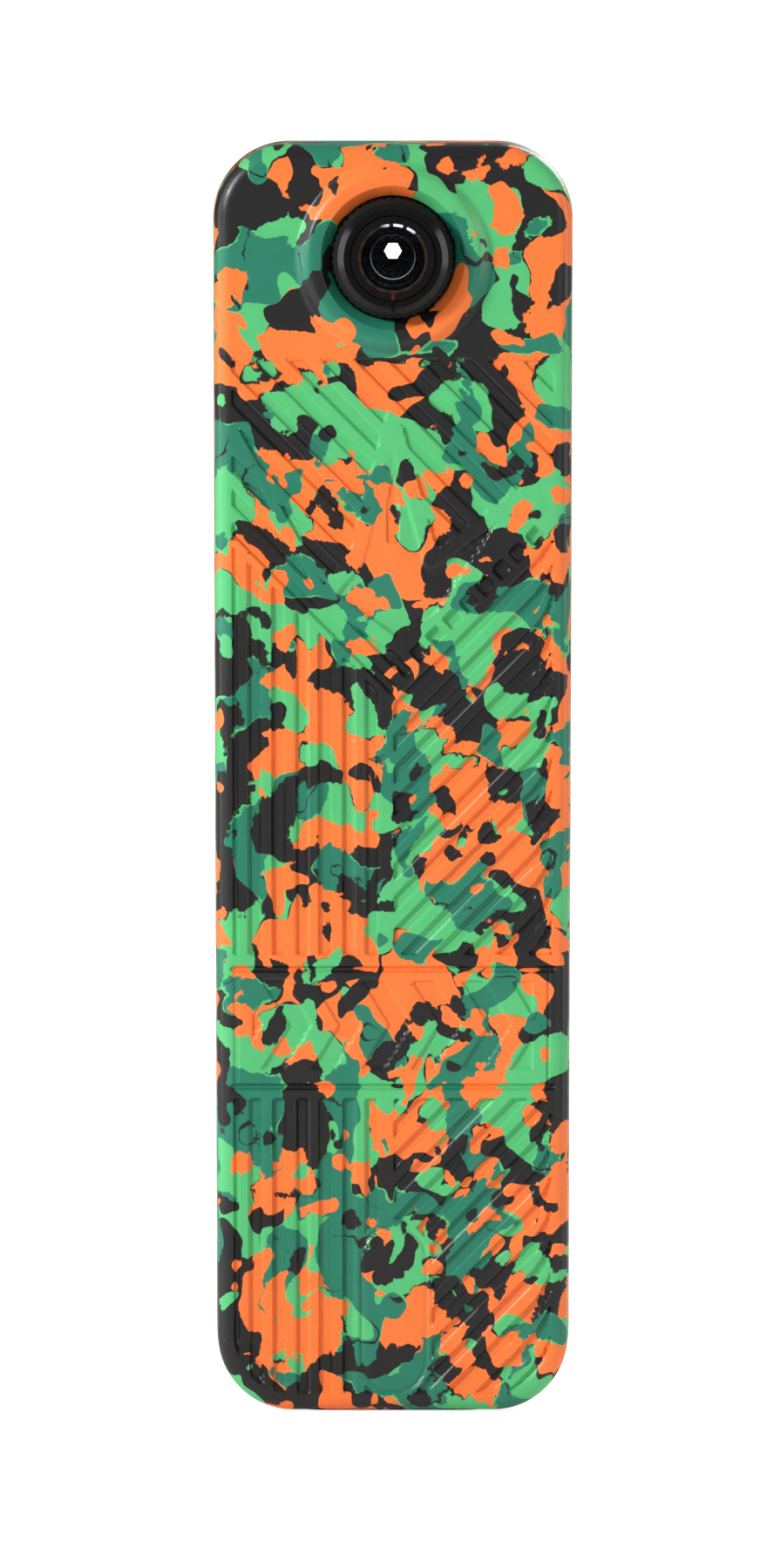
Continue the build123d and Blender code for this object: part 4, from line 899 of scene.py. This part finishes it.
def painted_glow_disc():
    """A thin disc just behind the six-sided aperture whose front glows: a painted glow that stands in for the
    daylight coming through the optics.
    """
    near = span("hex_aperture", 1)[1] + DISC_GAP
    radius = DISC_RADIUS * MM
    bm = bmesh.new()
    bmesh.ops.create_cone(
        bm, cap_ends=True, segments=48, radius1=radius, radius2=radius, depth=DISC_THICK * MM
    )
    bmesh.ops.rotate(bm, matrix=Matrix.Rotation(math.pi / 2, 3, "X"), verts=bm.verts)
    bmesh.ops.translate(bm, vec=Vector((0, near + DISC_THICK / 2, EYE_Z)) * MM, verts=bm.verts)
    bm.normal_update()
    for face in bm.faces:
        # the front face gets the painted daylight glow, the back is black
        face.material_index = 0 if face.normal.y < -0.5 else 1
    mesh = bpy.data.meshes.new("painted_glow_disc")
    bm.to_mesh(mesh)
    bm.free()
    disc = bpy.data.objects.new("painted_glow_disc", mesh)
    bpy.context.scene.collection.objects.link(disc)
    mesh.materials.append(painted_daylight)
    mesh.materials.append(deep_black)
    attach(disc, "housing")


painted_glow_disc()


# ======== floor, light and camera ========

FLOOR_SIDE = 150.0  # half of the floor's width, in metres
FLOOR_GAP = 0.05  # between the floor and the object
FLOOR_SEEN, FLOOR_GLOW = 0.85, 0.03  # the floor's glow for the camera, and for the object
ROOM_LOW, ROOM_HIGH = 0.03, 0.36  # the room's light near the horizon, and overhead

# Each light's place in metres, its size and its power. All of them aim at the middle of the body.
LIGHTS = {
    "key": ((-0.98, -0.76, 0.64), (0.2, 0.2), 15.0),
    "fill": ((0.75, -1.1, 0.45), (0.5, 0.9), 2.2),
    "left_strip": ((-0.9, -0.06, 0.2), (0.16, 0.9), 3.0),
    "right_strip": ((0.9, -0.06, 0.2), (0.16, 0.9), 2.5),
    "far": ((0.5, 1.0, 0.7), (0.7, 0.7), 10.0),
}

PITCH = math.radians(2.8)
DISTANCE = 2.5  # from the camera to the object, in metres
PICTURE_TALL = 217.0  # height of the whole picture, at the body
PICTURE_SHAPE = 895 / 1800
SENSOR = 36.0
AIM = (-0.4, -15.0, (TOP + BOTTOM) / 2 - 0.8)  # the picture's middle


def white_floor():
    mesh = bpy.data.meshes.new("floor")
    low = (BOTTOM - FLOOR_GAP) * MM
    signs = [(-1, -1), (1, -1), (1, 1), (-1, 1)]
    mesh.from_pydata([(x * FLOOR_SIDE, y * FLOOR_SIDE, low) for x, y in signs], [], [(0, 1, 2, 3)])
    floor = bpy.data.objects.new("floor", mesh)
    bpy.context.scene.collection.objects.link(floor)
    n = Nodes("floor_white")
    paper = n.mix(n.noise(n.place, 0.01), (0.93, 0.93, 0.93, 1), (0.96, 0.96, 0.96, 1))
    n.put(n.shader.inputs["Base Color"], paper)
    n.shader.inputs["Roughness"].default_value = 0.9
    n.shader.inputs["Emission Color"].default_value = WHITE
    seen = n.add("ShaderNodeLightPath").outputs["Is Camera Ray"]
    n.put(n.shader.inputs["Emission Strength"], n.spread(seen, 0.0, 1.0, FLOOR_GLOW, FLOOR_SEEN))
    mesh.materials.append(n.material)


def softbox(name, place, aim, size, watts):
    data = bpy.data.lights.new(name, "AREA")
    data.shape = "RECTANGLE"
    data.size, data.size_y = size
    data.energy = watts
    light = bpy.data.objects.new(name, data)
    light.location = place
    light.rotation_euler = (Vector(aim) - Vector(place)).to_track_quat("-Z", "Y").to_euler()
    bpy.context.scene.collection.objects.link(light)


def studio_world():
    """A white backdrop for the camera. The room that lights the object is bright above and dim in front."""
    world = bpy.data.worlds.new("studio")
    bpy.context.scene.world = world
    world.use_nodes = True
    tree = world.node_tree
    room = tree.nodes["Background"]
    room.inputs["Color"].default_value = WHITE
    direction = tree.nodes.new("ShaderNodeTexCoord")
    parts = tree.nodes.new("ShaderNodeSeparateXYZ")
    tree.links.new(direction.outputs["Generated"], parts.inputs[0])
    height = tree.nodes.new("ShaderNodeMapRange")
    for socket, number in zip(height.inputs.values()[1:5], (0.05, 0.9, ROOM_LOW, ROOM_HIGH)):
        socket.default_value = number
    tree.links.new(parts.outputs["Z"], height.inputs[0])
    tree.links.new(height.outputs[0], room.inputs["Strength"])
    backdrop = tree.nodes.new("ShaderNodeBackground")
    backdrop.inputs["Strength"].default_value = 1.0
    rays = tree.nodes.new("ShaderNodeLightPath")
    either = tree.nodes.new("ShaderNodeMixShader")
    tree.links.new(rays.outputs["Is Camera Ray"], either.inputs[0])
    tree.links.new(room.outputs[0], either.inputs[1])
    tree.links.new(backdrop.outputs[0], either.inputs[2])
    tree.links.new(either.outputs[0], tree.nodes["World Output"].inputs["Surface"])


def studio_camera():
    data = bpy.data.cameras.new("camera")
    data.sensor_fit = "VERTICAL"
    data.sensor_height = SENSOR
    data.sensor_width = SENSOR * PICTURE_SHAPE
    data.lens = SENSOR * DISTANCE / (PICTURE_TALL * MM)
    data.clip_end = 400.0
    camera = bpy.data.objects.new("camera", data)
    target = Vector(AIM) * MM
    camera.location = target + DISTANCE * Vector((0, -math.cos(PITCH), math.sin(PITCH)))
    camera.rotation_euler = (target - camera.location).to_track_quat("-Z", "Y").to_euler()
    bpy.context.scene.collection.objects.link(camera)
    bpy.context.scene.camera = camera


white_floor()
body_middle = Vector((0, 0, (TOP + BOTTOM) / 2 * MM))
for light_name, (place, size, watts) in LIGHTS.items():
    softbox(light_name, place, body_middle, size, watts)
studio_world()
studio_camera()
bpy.context.scene.view_settings.view_transform = "Standard"
